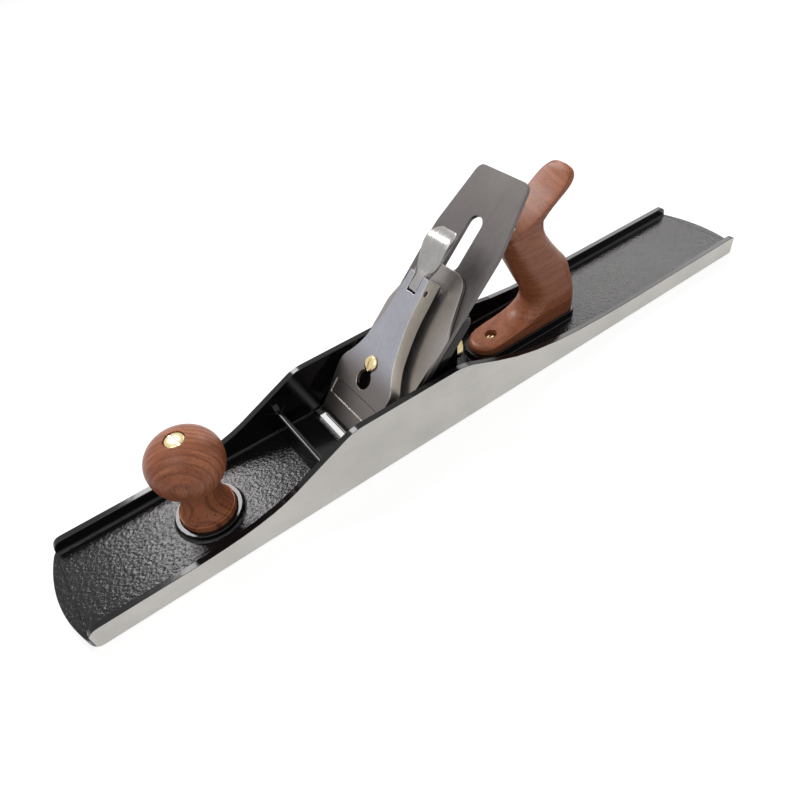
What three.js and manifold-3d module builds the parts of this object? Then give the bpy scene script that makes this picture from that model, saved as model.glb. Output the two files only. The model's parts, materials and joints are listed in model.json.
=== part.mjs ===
// Flat-sided jointer plane: sole casting, pinned frog and adjusters, cutting iron, lever cap and handles.
// Millimetres. +X runs from toe to heel, +Y to the right cheek, +Z up; the origin is the middle of the sole.
import * as THREE from "three";
import { mergeVertices } from "three/addons/utils/BufferGeometryUtils.js";
import Module from "manifold-3d";

const wasm = await Module();
wasm.setup();

// Fits
const gap = 0.3; // between pieces that touch
const slideGap = 0.5; // beside a piece that slides or swings
const overrun = 4; // how far a cut passes the face it starts from
const overlap = 1; // how far a joined form sinks into its neighbour

// Sole casting
const soleLength = 560;
const soleWidth = 74;
const floorThickness = 6.5;
const cheekThickness = 4.4;
const cheekHeight = 46;
const railHeight = 15;
const crestLength = 69;
const toeSlopeLength = 112;
const heelSlopeLength = 174;
const toeArcRadius = 91;
const heelArcRadius = 110;
const endCornerReach = 5;
const railEndReach = 7;
const wallFillet = 2.5;
// Cheek outline between rail and crest: [share of the slope's length, share of its rise]
const toeSlopeShares = [[0, 0], [0.36, 0.02], [0.554, 0.34], [0.875, 0.89], [0.933, 1], [1, 1]];
const heelSlopeShares = [[0, 1], [0.043, 1], [0.086, 0.913], [0.207, 0.619], [0.397, 0.161], [0.598, 0.016],
  [1, 0]];

// Bed and mouth
const bedAngle = Math.PI / 4;
const bedPlace = -88; // where the bed's plane meets the sole
const mouthOpening = 3.5;
const mouthLip = 1.5;
const mouthWidth = 63.6;
const throatSlope = 4.5;
const crestAheadOfBed = 5;

// Rib and raised panel ahead of the mouth
const ribAheadOfBed = 35;
const ribHeight = 27;
const ribFootThickness = 6.5;
const ribTopThickness = 4;
const ribBlend = 6;
const panelWidth = 50;
const panelToeHeight = 11;
const panelMouthHeight = 7.5;

// Frog seat
const seatAngle = Math.PI / 20;
const seatBehindBed = 12;
const seatHeight = 9;
const seatBehindFrog = 11;
const seatNotchWidth = 18;
const seatNotchReach = 7; // ahead of the frog's rear edge

// Knob boss and tote pad
const knobBehindToe = 93;
const bossRadius = 20.5;
const bossHeight = 10.5;
const bossRecess = 1.2;
const totePlace = 21; // toe end of the handle's foot
const padMargin = 2;
const padHeight = 13;
const padToeShare = 0.9; // rounding, as a share of the half width
const padHeelShare = 0.5;

// Knob
const knobFlangeDiameter = 34;
const knobFlangeHeight = 5;
const knobBead = 0.9;
const knobNeckDiameter = 25;
const knobBallDiameter = 47.2;
const knobBallHeight = 45;
const knobCrownRise = 19;
const knobShoulderShare = 1.06; // of the neck's radius, where waist and ball meet
const knobWaistShares = [0.88, 0.55]; // waist's control point: of the neck's radius, of the shoulder's height
const nutDiameter = 11.6;
const rodDiameter = 6.4;

// Tote
const toteFootLength = 93;
const toteHeight = 113.5;
const toteThickness = 26;
const toeScrewPlace = 17;
const toeScrewHeadDiameter = 8;
const toteRodFoot = 76; // from the foot's toe end
const toteRodTop = 22;

// Slots of screw heads and nuts
const driverSlotWidth = 1.4;
const driverSlotDepth = 1.2;

// Frog
const frogTravel = 1.5;
const frogWidth = 60;
const frogPlateThickness = 7;
const frogShoulder = 112; // up the bed
const frogCrown = 121;
const frogCrownWidth = 28;
const frogCornerReach = 8;
const frogCrownReach = 2;
const frogBaseThickness = 6;
const frogWebThickness = 5;
const frogWebPlace = 20.6;
const frogWebTop = 98;
const frogBossDiameter = 13;
const frogBossClear = 2.4; // to the wheel
const frogSlotRise = 2; // of the stud boss's slot above the wheel's axis

// Frog pins and their screws, placed up the seat
const frogPinAhead = 13.4; // of the frog's rear edge
const frogPinSide = 14;
const pinDiameter = 8;
const pinDepth = 9;
const pinHeadDiameter = 12;
const pinHeadHeight = 2.5;
const lockScrewDiameter = 6;
const lockScrewDepth = 5;
const lockScrewLength = 17;
const lockTip = 1.8;
const adjusterDiameter = 5;
const adjusterDepth = 5.8;
const adjusterShank = 14;
const adjusterHeadDiameter = 9;
const adjusterFlange = 2;
const tabThickness = 1.6;
const tabWidth = 12;
const tabReach = 1.5;
const tabScrewDiameter = 3.6;
const tabScrewHeadDiameter = 6;
const tabScrewHeadHeight = 1.6;
const tabScrewLength = 9;

// Depth adjuster, its places along X and up from the sole
const wheelHeight = 39;
const wheelPlace = -17.6;
const wheelAheadOfFrog = 0.86; // of the frog's rear edge
const wheelDiameter = 32;
const wheelRimWidth = 9;
const wheelHubDiameter = 14;
const wheelFlange = 2.2;
const wheelGrooveWidth = 4.8;
const wheelGrooveDiameter = 9.2;
const wheelDish = 1.5;
const wheelDishDiameter = 24;
const wheelEdge = 1;
const studDiameter = 5.6;
const studLength = 25;

// Yoke lever, on the bed
const yokePlace = 88;
const yokeBehind = 14;
const yokeWidth = 16.8;
const yokeBossDiameter = 7.4;
const yokePinDiameter = 3;
const yokeArmWidth = 7.4;
const yokeArmThickness = 3;
const yokeLegThickness = 2.2;
const yokeForkDiameter = 3.8;
const tonguePlace = 74;
const yokeArmBehind = 11.2;
const tongueThickness = 3.6;
const yokeEarWidth = 3.5;
const yokeEarDiameter = 8;
const yokeEarReach = 3.9;
const yokeArmShare = 0.6; // of the boss's radius
const yokeLegShare = 0.8;
const yokeLegDropShare = 1.2;
const yokeMouthShare = 0.8; // rounding, as a share of the mouth's half width
const tongueRoomToe = 5.5;
const tongueRoomHeel = 3.5;

// Iron
const ironWidth = 60;
const ironLength = 193.6;
const ironThickness = 3;
const ironShoulder = 149.5;
const ironEndWidth = 43;
const ironCornerReach = 5;
const ironSlotWidth = 11.6;
const ironSlotLand = 28.6; // steel left above the slot
const ironKeyPlace = 52;
const ironKeyDiameter = 16.4;
const bevelAngle = Math.PI * 25 / 180;
const edgeLift = 0.42; // up the bed at rest

// Chipbreaker
const breakerWidth = 60;
const breakerLength = 129.7;
const breakerThickness = 3;
const breakerSetback = 1.5;
const breakerShoulder = 93;
const breakerEndWidth = 38;
const breakerCornerReach = 9;
const breakerHump = 5.5;
const breakerBend = 36;
const breakerScrewPlace = 86;
const breakerScrewDiameter = 7.2;
const breakerScrewHeadDiameter = 15;
const breakerScrewHeadHeight = 3.7;
const breakerHoleWidth = 12.4;
const breakerHoleLength = 22;
const breakerShoulderReach = 3;
const breakerScrewTravel = 2.4;
// Front curve over the hump and back under it: [share of the bend's place, share of the hump's height]
const breakerTopShares = [[0.11, 1], [0.22, 1], [0.44, 1], [0.6, 0.545]];
const breakerUnderShares = [[0.6, 0], [0.44, 0.455], [0.22, 0.455], [0.155, 0.4], [0.083, 0]];
const tongueSlotWidth = 5.6;
const tongueSlotLength = 12;
const tongueSlotReach = 1;

// Lateral lever, on the bed
const lateralPivot = 110;
const lateralRollerPlace = 104;
const lateralThickness = 1.8;
const lateralRootWidth = 11;
const lateralNeckWidth = 8;
const lateralTabWidth = 14;
const lateralEnd = 152;
const lateralBack = 17;
const lateralTurnAhead = 2; // of the frog's crown
const lateralTurnReach = 2;
const lateralBendRun = 8;
const lateralBendRise = 2;
const lateralBendReach = 4;
const lateralShoulderReach = 3;
const lateralTabReach = 1;
const lateralRoundShare = 0.8; // of the half width
const lateralRoom = 1.3; // beside the root in the frog's recess
const lateralRecessDepth = 0.8; // under the root
const lateralRecessAhead = 2.5; // of the roller
const rollerDiameter = 11;
const rollerHeight = 2.2;
const rollerRivetDiameter = 3;
const rollerRivetHeadDiameter = 5;
const lateralRivetDiameter = 4;
const lateralRivetHeadDiameter = 6;

// Lever cap, on the bed
const capNose = 10.5;
const capEnd = 118;
const capWidth = 56;
const capHeight = 20;
// Right side from nose to upper end: [share of the length, of the half width, rounding as share of length]
const capPlanShares = [[0, 0.821], [0.088, 0.839], [0.219, 0.946], [0.33, 1, 0.056], [0.395, 0.804, 0.037],
  [0.479, 0.625, 0.047], [0.609, 0.482, 0.056], [0.74, 0.379, 0.056], [1, 0.311]];
// Top from nose to upper end: [share of the length, share of the height]
const capTopShares = [[0.005, 0.72], [0.367, 0.86], [1, 1]];
const capNoseDrop = 1.2;
const capNoseWall = 7;
const capLipLength = 3;
const capLipReach = 1;
const capRampLength = 10;
const capRampRise = 1.4;
const capRampReach = 4;
const capFootReach = 10;
const capHollowRise = 4;
const capHollowReach = 3;
const capSide = 3.2;
const capSkin = 3.2;
const capSideFoot = 8;
const capPanelStart = 22;
const capPanelEnd = 33;
const capPanelWidth = 44;
const capPanelDepth = 0.6;
const capPanelBorder = 1.2;
const capScrewPlace = 55;
const capScrewDiameter = 6.4;
const capScrewHeadDiameter = 10.4;
const capScrewHeadHeight = 2.2;
const capScrewDepth = 15;
const capKeyDiameter = 13;
const capLift = 11.5;

// Cam lever, its pin and the leaf spring
const camPlace = 109.8;
const camHeight = 16.4; // pin above the bed
const camRoot = 3.4;
const camPinDiameter = 3;
const camPinLength = 16;
const camWidth = 7.4;
const lobeDrop = 6.8; // below the pin
const camTabEnd = 150;
const camTabWidth = 20;
const camTabRise = 22;
// Top from root to tab, then the underside back: [share of the tab's length, share of its rise]
const camTopShares = [[0.3, 0.5], [0.4, 0.214], [0.55, 0.143], [0.66, 0.107], [0.85, 0.893], [1, 1]];
const camUnderShares = [[1, 0.68], [0.85, 0.41], [0.66, -0.43], [0.5, -0.357], [0.3, -0.607]];
// Seen from above: [share of the tab's length, share of its half width, rounding as share of half width]
const camPlanShares = [[0.261, 0.55, 0.2], [0.55, 0.605, 0.5], [0.75, 1, 0.2], [1, 1, 0.75]];
const camLobeShare = 0.4; // of the lobe's radius, where the underside meets it
const springThickness = 0.8;
const springWidth = 10;
const springStart = 79;
const springEnd = 116.5;
const springBend = 91;
const springFoot = 107;
const springPadHeight = 8.6;
const springRivetPlace = 85;
const springRivetDiameter = 3;
const springRivetHeadDiameter = 5;
const springRivetHeadHeight = 1;
const springRivetDepth = 3;
const springReach = 3.5;
const springPadLength = 10;
const springPadMargin = 1;

// Rivets, screws and nuts
const rivetDomeShare = 0.6; // of the head's height
const lateralRivetHeadHeight = 0.9;
const rollerRivetHeadHeight = 0.6;
const tabScrewHeight = 3.3; // above the seat
const nutLength = 14;
const toteNutLength = 14;
const toteNutHeight = 96; // along the handle's rod
const toteRodRise = 102;
const rodSink = 8.5;
const toeScrewShank = 4.6;
const toeScrewHeadHeight = 2.4;
const toeScrewSeat = 2.4;
const toeScrewClear = 30;
// Handle outlines: [share of its height, share of its length or thickness]
const toteFrontShares = [
  [0, 0], [0.033, 0.008], [0.048, 0.043], [0.057, 0.129], [0.063, 0.215], [0.075, 0.312], [0.094, 0.398],
  [0.121, 0.462], [0.156, 0.505], [0.2, 0.522], [0.27, 0.5], [0.328, 0.462], [0.392, 0.419], [0.482, 0.361],
  [0.567, 0.306], [0.623, 0.274], [0.676, 0.247], [0.733, 0.226], [0.755, 0.323], [0.786, 0.441],
  [0.83, 0.559], [0.887, 0.677], [0.944, 0.769], [0.98, 0.823], [1, 0.86],
];
const toteRearShares = [
  [0, 1], [0.103, 1], [0.218, 0.978], [0.323, 0.941], [0.385, 0.903], [0.456, 0.828], [0.567, 0.72],
  [0.658, 0.651], [0.729, 0.629], [0.781, 0.645], [0.826, 0.699], [0.861, 0.774], [0.892, 0.849],
  [0.922, 0.898], [0.949, 0.909], [0.975, 0.901], [1, 0.871],
];
const toteThicknessShares = [[0, 1], [0.15, 1], [0.25, 0.93], [0.6, 0.96], [0.85, 1], [0.94, 0.9], [0.985, 0.6],
  [1, 0.3]];
const toteSquarenessShares = [[0, 4.5], [0.17, 4.5], [0.3, 2.4], [0.65, 2.4], [0.8, 4], [1, 3]];

// Facets
const curveSides = 6;
const domeSides = 3;
const planSides = 10;
const turnSides = 28;
const smallTurnSides = 16;
const toteSides = 20;

// Worked-out places
const frogBaseLength = (wheelPlace + wheelAheadOfFrog - bedPlace - seatBehindBed) / Math.cos(seatAngle);
const seatLength = frogBaseLength + seatBehindFrog;
const frogPinPlace = frogBaseLength - frogPinAhead;
const frogBossEnd = wheelPlace - frogBossClear;
const knobPlace = knobBehindToe - soleLength / 2;
const world = new THREE.Matrix4();
const bed = frameOn(bedPlace, 0, bedAngle);
const seat = frameOn(bedPlace + seatBehindBed, seatHeight, seatAngle);
const halfWidth = soleWidth / 2;
const cheekInside = halfWidth - cheekThickness;
const frogBossStart = bedPlace + wheelHeight / Math.tan(bedAngle)
  + (ironThickness + gap + frogPlateThickness / 2) / Math.sin(bedAngle);
const wheelAxis = new THREE.Matrix4().makeRotationY(Math.PI / 2).setPosition(0, 0, wheelHeight);
const wheelAxisAcross = new THREE.Matrix4().makeTranslation(wheelPlace, 0, wheelHeight);
const capLength = capEnd - capNose;
const camLobeRadius = camHeight - lobeDrop - breakerThickness - springThickness - gap * 4;
const toteRodFrame = frameAlong(
  new THREE.Vector3(totePlace + toteRodFoot, 0, padHeight),
  new THREE.Vector3(totePlace + toteRodTop, 0, padHeight + toteRodRise),
);

// A frame with x up a slope and z square to it
function frameOn(x, z, slope) {
  return new THREE.Matrix4().makeRotationY(-slope).setPosition(x, 0, z);
}

// A closed triangle mesh as a solid, with shared corners merged and slivers left out
function solid(geometry, frame = world) {
  const bare = geometry.clone().applyMatrix4(frame);
  bare.deleteAttribute("normal");
  bare.deleteAttribute("uv");
  const merged = mergeVertices(bare);
  const corners = [];
  for (let i = 0; i < merged.index.count; i += 3) {
    const [a, b, c] = [merged.index.getX(i), merged.index.getX(i + 1), merged.index.getX(i + 2)];
    if (a !== b && b !== c && c !== a) corners.push(a, b, c);
  }
  const vertProperties = Float32Array.from(merged.attributes.position.array);
  const triVerts = Uint32Array.from(corners);
  return new wasm.Manifold(new wasm.Mesh({ numProp: 3, vertProperties, triVerts }));
}

// Joins and cuts
function join(first, ...others) {
  return others.reduce((sum, other) => sum.add(other), first);
}

function cut(first, ...others) {
  return others.reduce((rest, other) => rest.subtract(other), first);
}

// The same solid on the other side of the middle plane
function mirrored(body) {
  const mesh = body.getMesh();
  const vertProperties = mesh.vertProperties.map((value, i) => (i % 3 === 1 ? -value : value));
  const triVerts = mesh.triVerts.toReversed();
  return new wasm.Manifold(new wasm.Mesh({ numProp: 3, vertProperties, triVerts }));
}

// A named mesh from a solid
function piece(parent, name, material, body, frame = world) {
  const { vertProperties, triVerts } = body.getMesh();
  const geometry = new THREE.BufferGeometry();
  geometry.setAttribute("position", new THREE.BufferAttribute(Float32Array.from(vertProperties), 3));
  geometry.setIndex(new THREE.BufferAttribute(Uint32Array.from(triVerts), 1));
  geometry.computeVertexNormals();
  const mesh = new THREE.Mesh(geometry, material);
  mesh.name = name;
  mesh.applyMatrix4(frame);
  parent.add(mesh);
  return mesh;
}

// A closed outline of [x, y, reach] corners; a corner with a reach is rounded from that far on both sides
function outline(corners) {
  const shape = new THREE.Shape();
  corners.forEach(([x, y, reach = 0], i) => {
    const here = new THREE.Vector2(x, y);
    const towards = (other) => new THREE.Vector2(other[0], other[1]).sub(here).setLength(reach).add(here);
    if (reach === 0) {
      if (i === 0) shape.moveTo(x, y);
      else shape.lineTo(x, y);
      return;
    }
    const start = towards(corners.at(i - 1));
    const end = towards(corners[(i + 1) % corners.length]);
    if (i === 0) shape.moveTo(start.x, start.y);
    else shape.lineTo(start.x, start.y);
    shape.quadraticCurveTo(x, y, end.x, end.y);
  });
  shape.closePath();
  return shape;
}

function rectangle(x0, y0, x1, y1, reach = 0) {
  return outline([[x0, y0, reach], [x1, y0, reach], [x1, y1, reach], [x0, y1, reach]]);
}

// A slot with round ends between two centres on a line of constant y
function stadium(x0, x1, y, radius) {
  const shape = new THREE.Shape();
  shape.absarc(x1, y, radius, -Math.PI / 2, Math.PI / 2, false);
  shape.absarc(x0, y, radius, Math.PI / 2, Math.PI * 1.5, false);
  shape.closePath();
  return shape;
}

function disc(x, y, radius) {
  return new THREE.Shape().absarc(x, y, radius, 0, Math.PI * 2, false);
}

// Extrusions of an outline along X, Y or Z, from one place to another
function extrude(shape, length, sides) {
  return new THREE.ExtrudeGeometry(shape, { depth: length, bevelEnabled: false, curveSegments: sides });
}

function alongX(shape, x0, x1, frame, sides = curveSides) {
  const turned = extrude(shape, x1 - x0, sides).rotateX(Math.PI / 2).rotateZ(Math.PI / 2);
  return solid(turned.translate(x0, 0, 0), frame);
}

function alongY(shape, y0, y1, frame, sides = curveSides) {
  return solid(extrude(shape, y1 - y0, sides).rotateX(Math.PI / 2).translate(0, y1, 0), frame);
}

function alongZ(shape, z0, z1, frame, sides = curveSides) {
  return solid(extrude(shape, z1 - z0, sides).translate(0, 0, z0), frame);
}

// A turned piece about the Z axis through (x, y), from a closed profile of [radius, height]
function turned(profile, x = 0, y = 0, frame = world, sides = turnSides) {
  const points = profile.map(([radius, height]) => new THREE.Vector2(radius, height));
  return solid(new THREE.LatheGeometry(points, sides).rotateX(Math.PI / 2).translate(x, y, 0), frame);
}

function rod(radius, z0, z1, x = 0, y = 0, frame = world, sides = smallTurnSides) {
  return turned([[0, z0], [radius, z0], [radius, z1], [0, z1]], x, y, frame, sides);
}

// A frame with its z axis from one point towards another
function frameAlong(from, to) {
  const direction = to.clone().sub(from).normalize();
  const turn = new THREE.Quaternion().setFromUnitVectors(new THREE.Vector3(0, 0, 1), direction);
  return new THREE.Matrix4().compose(from, turn, new THREE.Vector3(1, 1, 1));
}

// A solid skinned over rings of equally many points, closed at both ends
function loft(rings) {
  const count = rings[0].length;
  const points = rings.flat();
  const middle = (ring) => ring.reduce((sum, p) => sum.add(p), new THREE.Vector3()).divideScalar(count);
  const ends = [middle(rings[0]), middle(rings.at(-1))];
  const positions = [...points, ...ends].flatMap((p) => [p.x, p.y, p.z]);
  const index = [];
  for (let i = 0; i < count; i += 1) {
    const next = (i + 1) % count;
    const last = (rings.length - 1) * count;
    index.push(points.length, next, i);
    index.push(points.length + 1, last + i, last + next);
    for (let row = 0; row < last; row += count) {
      index.push(row + i, row + next, row + count + next, row + i, row + count + next, row + count + i);
    }
  }
  const geometry = new THREE.BufferGeometry();
  geometry.setAttribute("position", new THREE.Float32BufferAttribute(positions, 3));
  geometry.setIndex(index);
  return solid(geometry);
}

// A smooth value between rows of [key, value, ...], for one column
function between(rows, key, column) {
  const after = Math.min(Math.max(rows.findIndex((row) => row[0] >= key), 1), rows.length - 1);
  const [a, b] = [rows[after - 1], rows[after]];
  const before = rows[Math.max(after - 2, 0)];
  const beyond = rows[Math.min(after + 1, rows.length - 1)];
  const t = (key - a[0]) / (b[0] - a[0]);
  const slope = (p, q) => (q[column] - p[column]) / (q[0] - p[0]) * (b[0] - a[0]);
  const [m0, m1] = [slope(before, b), slope(a, beyond)];
  const rise = b[column] - a[column];
  return a[column] + t * (m0 + t * (3 * rise - 2 * m0 - m1 + t * (m0 + m1 - 2 * rise)));
}

// How far an arc's end lies behind its middle, at a distance y to one side
function bulge(radius, y) {
  return radius - Math.sqrt(radius ** 2 - y ** 2);
}

// Cheek outline seen from the side, with the rails at toe and heel rounded down to the floor
function sideOutline() {
  const end = soleLength / 2;
  const toeRail = bulge(toeArcRadius, halfWidth) - end;
  const heelRail = end - bulge(heelArcRadius, halfWidth);
  const crestToe = bedPlace - crestAheadOfBed;
  const crestHeel = crestToe + crestLength;
  const rise = cheekHeight - railHeight;
  const slopeStart = crestToe - toeSlopeLength;
  const toe = toeSlopeShares.map(([run, up]) => [slopeStart + toeSlopeLength * run, railHeight + rise * up]);
  const heel = heelSlopeShares.map(([run, up]) =>
    [crestHeel + heelSlopeLength * run, railHeight + rise * up]);
  const shape = new THREE.Shape();
  shape.moveTo(-end, 0);
  shape.lineTo(-end, floorThickness);
  shape.lineTo(toeRail, floorThickness);
  shape.quadraticCurveTo(toeRail, railHeight, toeRail + railEndReach, railHeight);
  shape.lineTo(...toe[0]);
  shape.quadraticCurveTo(...toe[1], ...toe[2]);
  shape.lineTo(...toe[3]);
  shape.quadraticCurveTo(...toe[4], ...toe[5]);
  shape.lineTo(...heel[0]);
  shape.quadraticCurveTo(...heel[1], ...heel[2]);
  shape.lineTo(...heel[3]);
  shape.bezierCurveTo(...heel[4], ...heel[5], ...heel[6]);
  shape.lineTo(heelRail - railEndReach, railHeight);
  shape.quadraticCurveTo(heelRail, railHeight, heelRail, floorThickness);
  shape.lineTo(end, floorThickness);
  shape.lineTo(end, 0);
  shape.closePath();
  return shape;
}

// Sole seen from above: straight sides, an arc at each end and rounded corners
function planOutline() {
  const cornerY = halfWidth - endCornerReach;
  const toeTurn = Math.asin(cornerY / toeArcRadius);
  const heelTurn = Math.asin(cornerY / heelArcRadius);
  const end = soleLength / 2;
  const toeCorner = bulge(toeArcRadius, halfWidth) - end;
  const heelCorner = end - bulge(heelArcRadius, halfWidth);
  const shape = new THREE.Shape();
  shape.absarc(toeArcRadius - end, 0, toeArcRadius, Math.PI - toeTurn, Math.PI + toeTurn, false);
  shape.quadraticCurveTo(toeCorner, -halfWidth, toeCorner + endCornerReach, -halfWidth);
  shape.lineTo(heelCorner - endCornerReach, -halfWidth);
  shape.quadraticCurveTo(heelCorner, -halfWidth, end - bulge(heelArcRadius, cornerY), -cornerY);
  shape.absarc(end - heelArcRadius, 0, heelArcRadius, -heelTurn, heelTurn, false);
  shape.quadraticCurveTo(heelCorner, halfWidth, heelCorner - endCornerReach, halfWidth);
  shape.lineTo(toeCorner + endCornerReach, halfWidth);
  shape.quadraticCurveTo(toeCorner, halfWidth, bulge(toeArcRadius, cornerY) - end, cornerY);
  shape.closePath();
  return shape;
}

// A place on the bed or the seat as world [x, z]: the first value runs up the slope, the second square to it
function placeIn(frame, along, off) {
  const point = new THREE.Vector3(along, 0, off).applyMatrix4(frame);
  return [point.x, point.z];
}

// Floor, cheeks and rails, from the channel's section, its side and its plan
function channelCasting() {
  const end = soleLength / 2;
  const section = outline([
    [-halfWidth, 0], [halfWidth, 0], [halfWidth, cheekHeight], [cheekInside, cheekHeight],
    [cheekInside, floorThickness, wallFillet], [-cheekInside, floorThickness, wallFillet],
    [-cheekInside, cheekHeight], [-halfWidth, cheekHeight],
  ]);
  return alongX(section, -end, end)
    .intersect(alongY(sideOutline(), -halfWidth - overrun, halfWidth + overrun))
    .intersect(alongZ(planOutline(), -overrun, cheekHeight + overrun, world, planSides));
}

// Cross rib ahead of the mouth, with its top blended up into both cheeks
function crossRib() {
  const foot = bedPlace - ribAheadOfBed;
  const top = foot + (ribFootThickness - ribTopThickness) / 2;
  const section = outline([
    [foot, 0], [foot + ribFootThickness, 0],
    [top + ribTopThickness, ribHeight, ribTopThickness / 3], [top, ribHeight, ribTopThickness / 3],
  ]);
  const across = cheekInside + cheekThickness / 2;
  const blend = new THREE.Shape();
  blend.moveTo(across, ribHeight - ribBlend);
  blend.lineTo(across, ribHeight + ribBlend);
  blend.lineTo(cheekInside, ribHeight + ribBlend);
  blend.quadraticCurveTo(cheekInside, ribHeight, cheekInside - ribBlend, ribHeight);
  blend.lineTo(cheekInside - ribBlend, ribHeight - ribBlend);
  const corner = alongX(blend, top, top + ribTopThickness);
  return join(alongY(section, -across, across), corner, mirrored(corner));
}

// Raised panel between rib and mouth
function throatPanel() {
  const toe = bedPlace - ribAheadOfBed + ribFootThickness / 2;
  const section = outline([[toe, 0], [bedPlace, 0], [bedPlace, panelMouthHeight], [toe, panelToeHeight]]);
  return alongY(section, -panelWidth / 2, panelWidth / 2);
}

// The opening through the sole: lip and sloping throat at the front, a wall along the bed at the back
function mouthCut() {
  const front = bedPlace - mouthOpening;
  const rearOffset = -ironThickness - 2 * gap;
  const top = seatHeight + overrun;
  const slopePerHeight = throatSlope / (panelMouthHeight - mouthLip);
  const upBed = (z) => [bedPlace + z - rearOffset / Math.sin(bedAngle), z];
  const section = outline([
    [front, -overrun], [front, mouthLip], [front - slopePerHeight * (top - mouthLip), top],
    upBed(top), upBed(-overrun),
  ]);
  return alongY(section, -mouthWidth / 2, mouthWidth / 2);
}

// Sloping seat of the frog
function frogSeat() {
  const rear = placeIn(seat, seatLength, 0);
  const across = cheekInside + cheekThickness / 2;
  const section = outline([[bedPlace, 0], [rear[0], 0], rear, placeIn(seat, -seatBehindBed, 0)]);
  return alongY(section, -across, across);
}

// Cut from the seat: slots for the frog's pins, bores for their screws, a bore and a notch for the adjuster
function seatCuts() {
  const rear = placeIn(seat, seatLength, 0);
  const [notchStart] = placeIn(seat, frogBaseLength - seatNotchReach, 0);
  const notch = alongZ(rectangle(notchStart, -seatNotchWidth / 2, rear[0] + overrun, seatNotchWidth / 2),
    floorThickness, rear[1] + overrun);
  const slot = stadium(frogPinPlace - frogTravel, frogPinPlace, frogPinSide, pinDiameter / 2 + slideGap);
  const pinSlot = alongZ(slot, -pinDepth - gap, overrun, seat);
  const lockBore = alongX(disc(frogPinSide, -lockScrewDepth, lockScrewDiameter / 2 + gap),
    frogPinPlace, seatLength + overrun, seat);
  const adjusterBore = alongX(disc(0, -adjusterDepth, adjusterDiameter / 2 + gap),
    frogBaseLength - adjusterFlange * 2 - adjusterShank - frogTravel - gap, seatLength, seat);
  const sides = join(pinSlot, lockBore);
  return join(notch, sides, mirrored(sides), adjusterBore);
}

// A round boss from a profile of radii above the floor, with a shallow seat in its top
function knobBoss() {
  const foot = bossRadius + wallFillet / 2;
  const recess = knobFlangeDiameter / 2 + slideGap;
  return turned([
    [0, 0], [foot, 0], [foot, floorThickness], [bossRadius, floorThickness + wallFillet / 2],
    [bossRadius, bossHeight], [recess, bossHeight], [recess, bossHeight - bossRecess],
    [0, bossHeight - bossRecess],
  ], knobPlace);
}

function totePad() {
  const start = totePlace - padMargin;
  const end = totePlace + toteFootLength - padMargin;
  const half = toteThickness / 2 + padMargin / 2;
  const [toe, heel] = [half * padToeShare, half * padHeelShare];
  return alongZ(outline([[start, -half, toe], [end, -half, heel], [end, half, heel], [start, half, toe]]),
    0, padHeight);
}

// Sole, cheeks, rib, panel, seat, boss and pad in one casting
function planeBody() {
  const casting = join(channelCasting(), crossRib(), throatPanel(), frogSeat(), knobBoss(), totePad());
  const knobBore = rod(rodDiameter / 2 + gap, floorThickness / 2, bossHeight + overrun, knobPlace);
  const toteBore = rod(rodDiameter / 2 + gap, -rodSink, rodSink, 0, 0, toteRodFrame);
  const toeBore = rod(toeScrewShank / 2 + gap, floorThickness / 2, padHeight + overrun,
    totePlace + toeScrewPlace);
  return cut(casting, mouthCut(), seatCuts(), knobBore, toteBore, toeBore);
}

// Knob: flange with a bead, a waist and a flattened ball, bored for its rod and nut
function frontKnob() {
  const ball = knobBallDiameter / 2;
  const neck = knobNeckDiameter / 2;
  const flange = knobFlangeDiameter / 2;
  const shoulder = neck * knobShoulderShare;
  const meet = Math.asin(shoulder / ball);
  const low = knobBallHeight - ball * Math.cos(meet);
  const waist = new THREE.QuadraticBezierCurve(
    new THREE.Vector2(flange - knobBead, knobFlangeHeight + knobBead),
    new THREE.Vector2(neck * knobWaistShares[0], low * knobWaistShares[1]),
    new THREE.Vector2(shoulder, low),
  ).getPoints(curveSides).map((p) => [p.x, p.y]);
  const lower = arcPoints(0, knobBallHeight, ball, ball, meet - Math.PI / 2, 0, curveSides);
  const upper = arcPoints(0, knobBallHeight, ball, knobCrownRise, 0, Math.PI / 2, curveSides);
  const form = turned([[0, 0], [flange, 0], [flange, knobFlangeHeight], ...waist,
    ...lower.slice(1), ...upper.slice(1)]);
  const top = knobBallHeight + knobCrownRise;
  return cut(form, rod(rodDiameter / 2 + gap, -overrun, top + overrun),
    rod(nutDiameter / 2 + gap, top - nutLength - gap, top + overrun));
}

// Points of an elliptical arc about (x, y), from one angle to another
function arcPoints(x, y, rx, ry, from, to, steps) {
  return Array.from({ length: steps + 1 }, (_, i) => {
    const angle = from + (to - from) * i / steps;
    return [x + rx * Math.cos(angle), y + ry * Math.sin(angle)];
  });
}

// Barrel nut with a domed, slotted top at z = 0 and a bore for the rod
function barrelNut(length) {
  const radius = nutDiameter / 2;
  const dome = arcPoints(0, -driverSlotDepth, radius, driverSlotDepth, 0, Math.PI / 2, domeSides);
  const body = turned([[0, -length], [radius, -length], ...dome], 0, 0, world, smallTurnSides);
  return cut(body, driverSlot(nutDiameter, 0), rod(rodDiameter / 2 + gap, -length - overrun, -length / 2));
}

// The straight slot across a screw's head, down from height z
function driverSlot(diameter, z) {
  const shape = rectangle(-diameter, -driverSlotWidth / 2, diameter, driverSlotWidth / 2);
  return alongZ(shape, z - driverSlotDepth, z + overrun);
}

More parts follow.
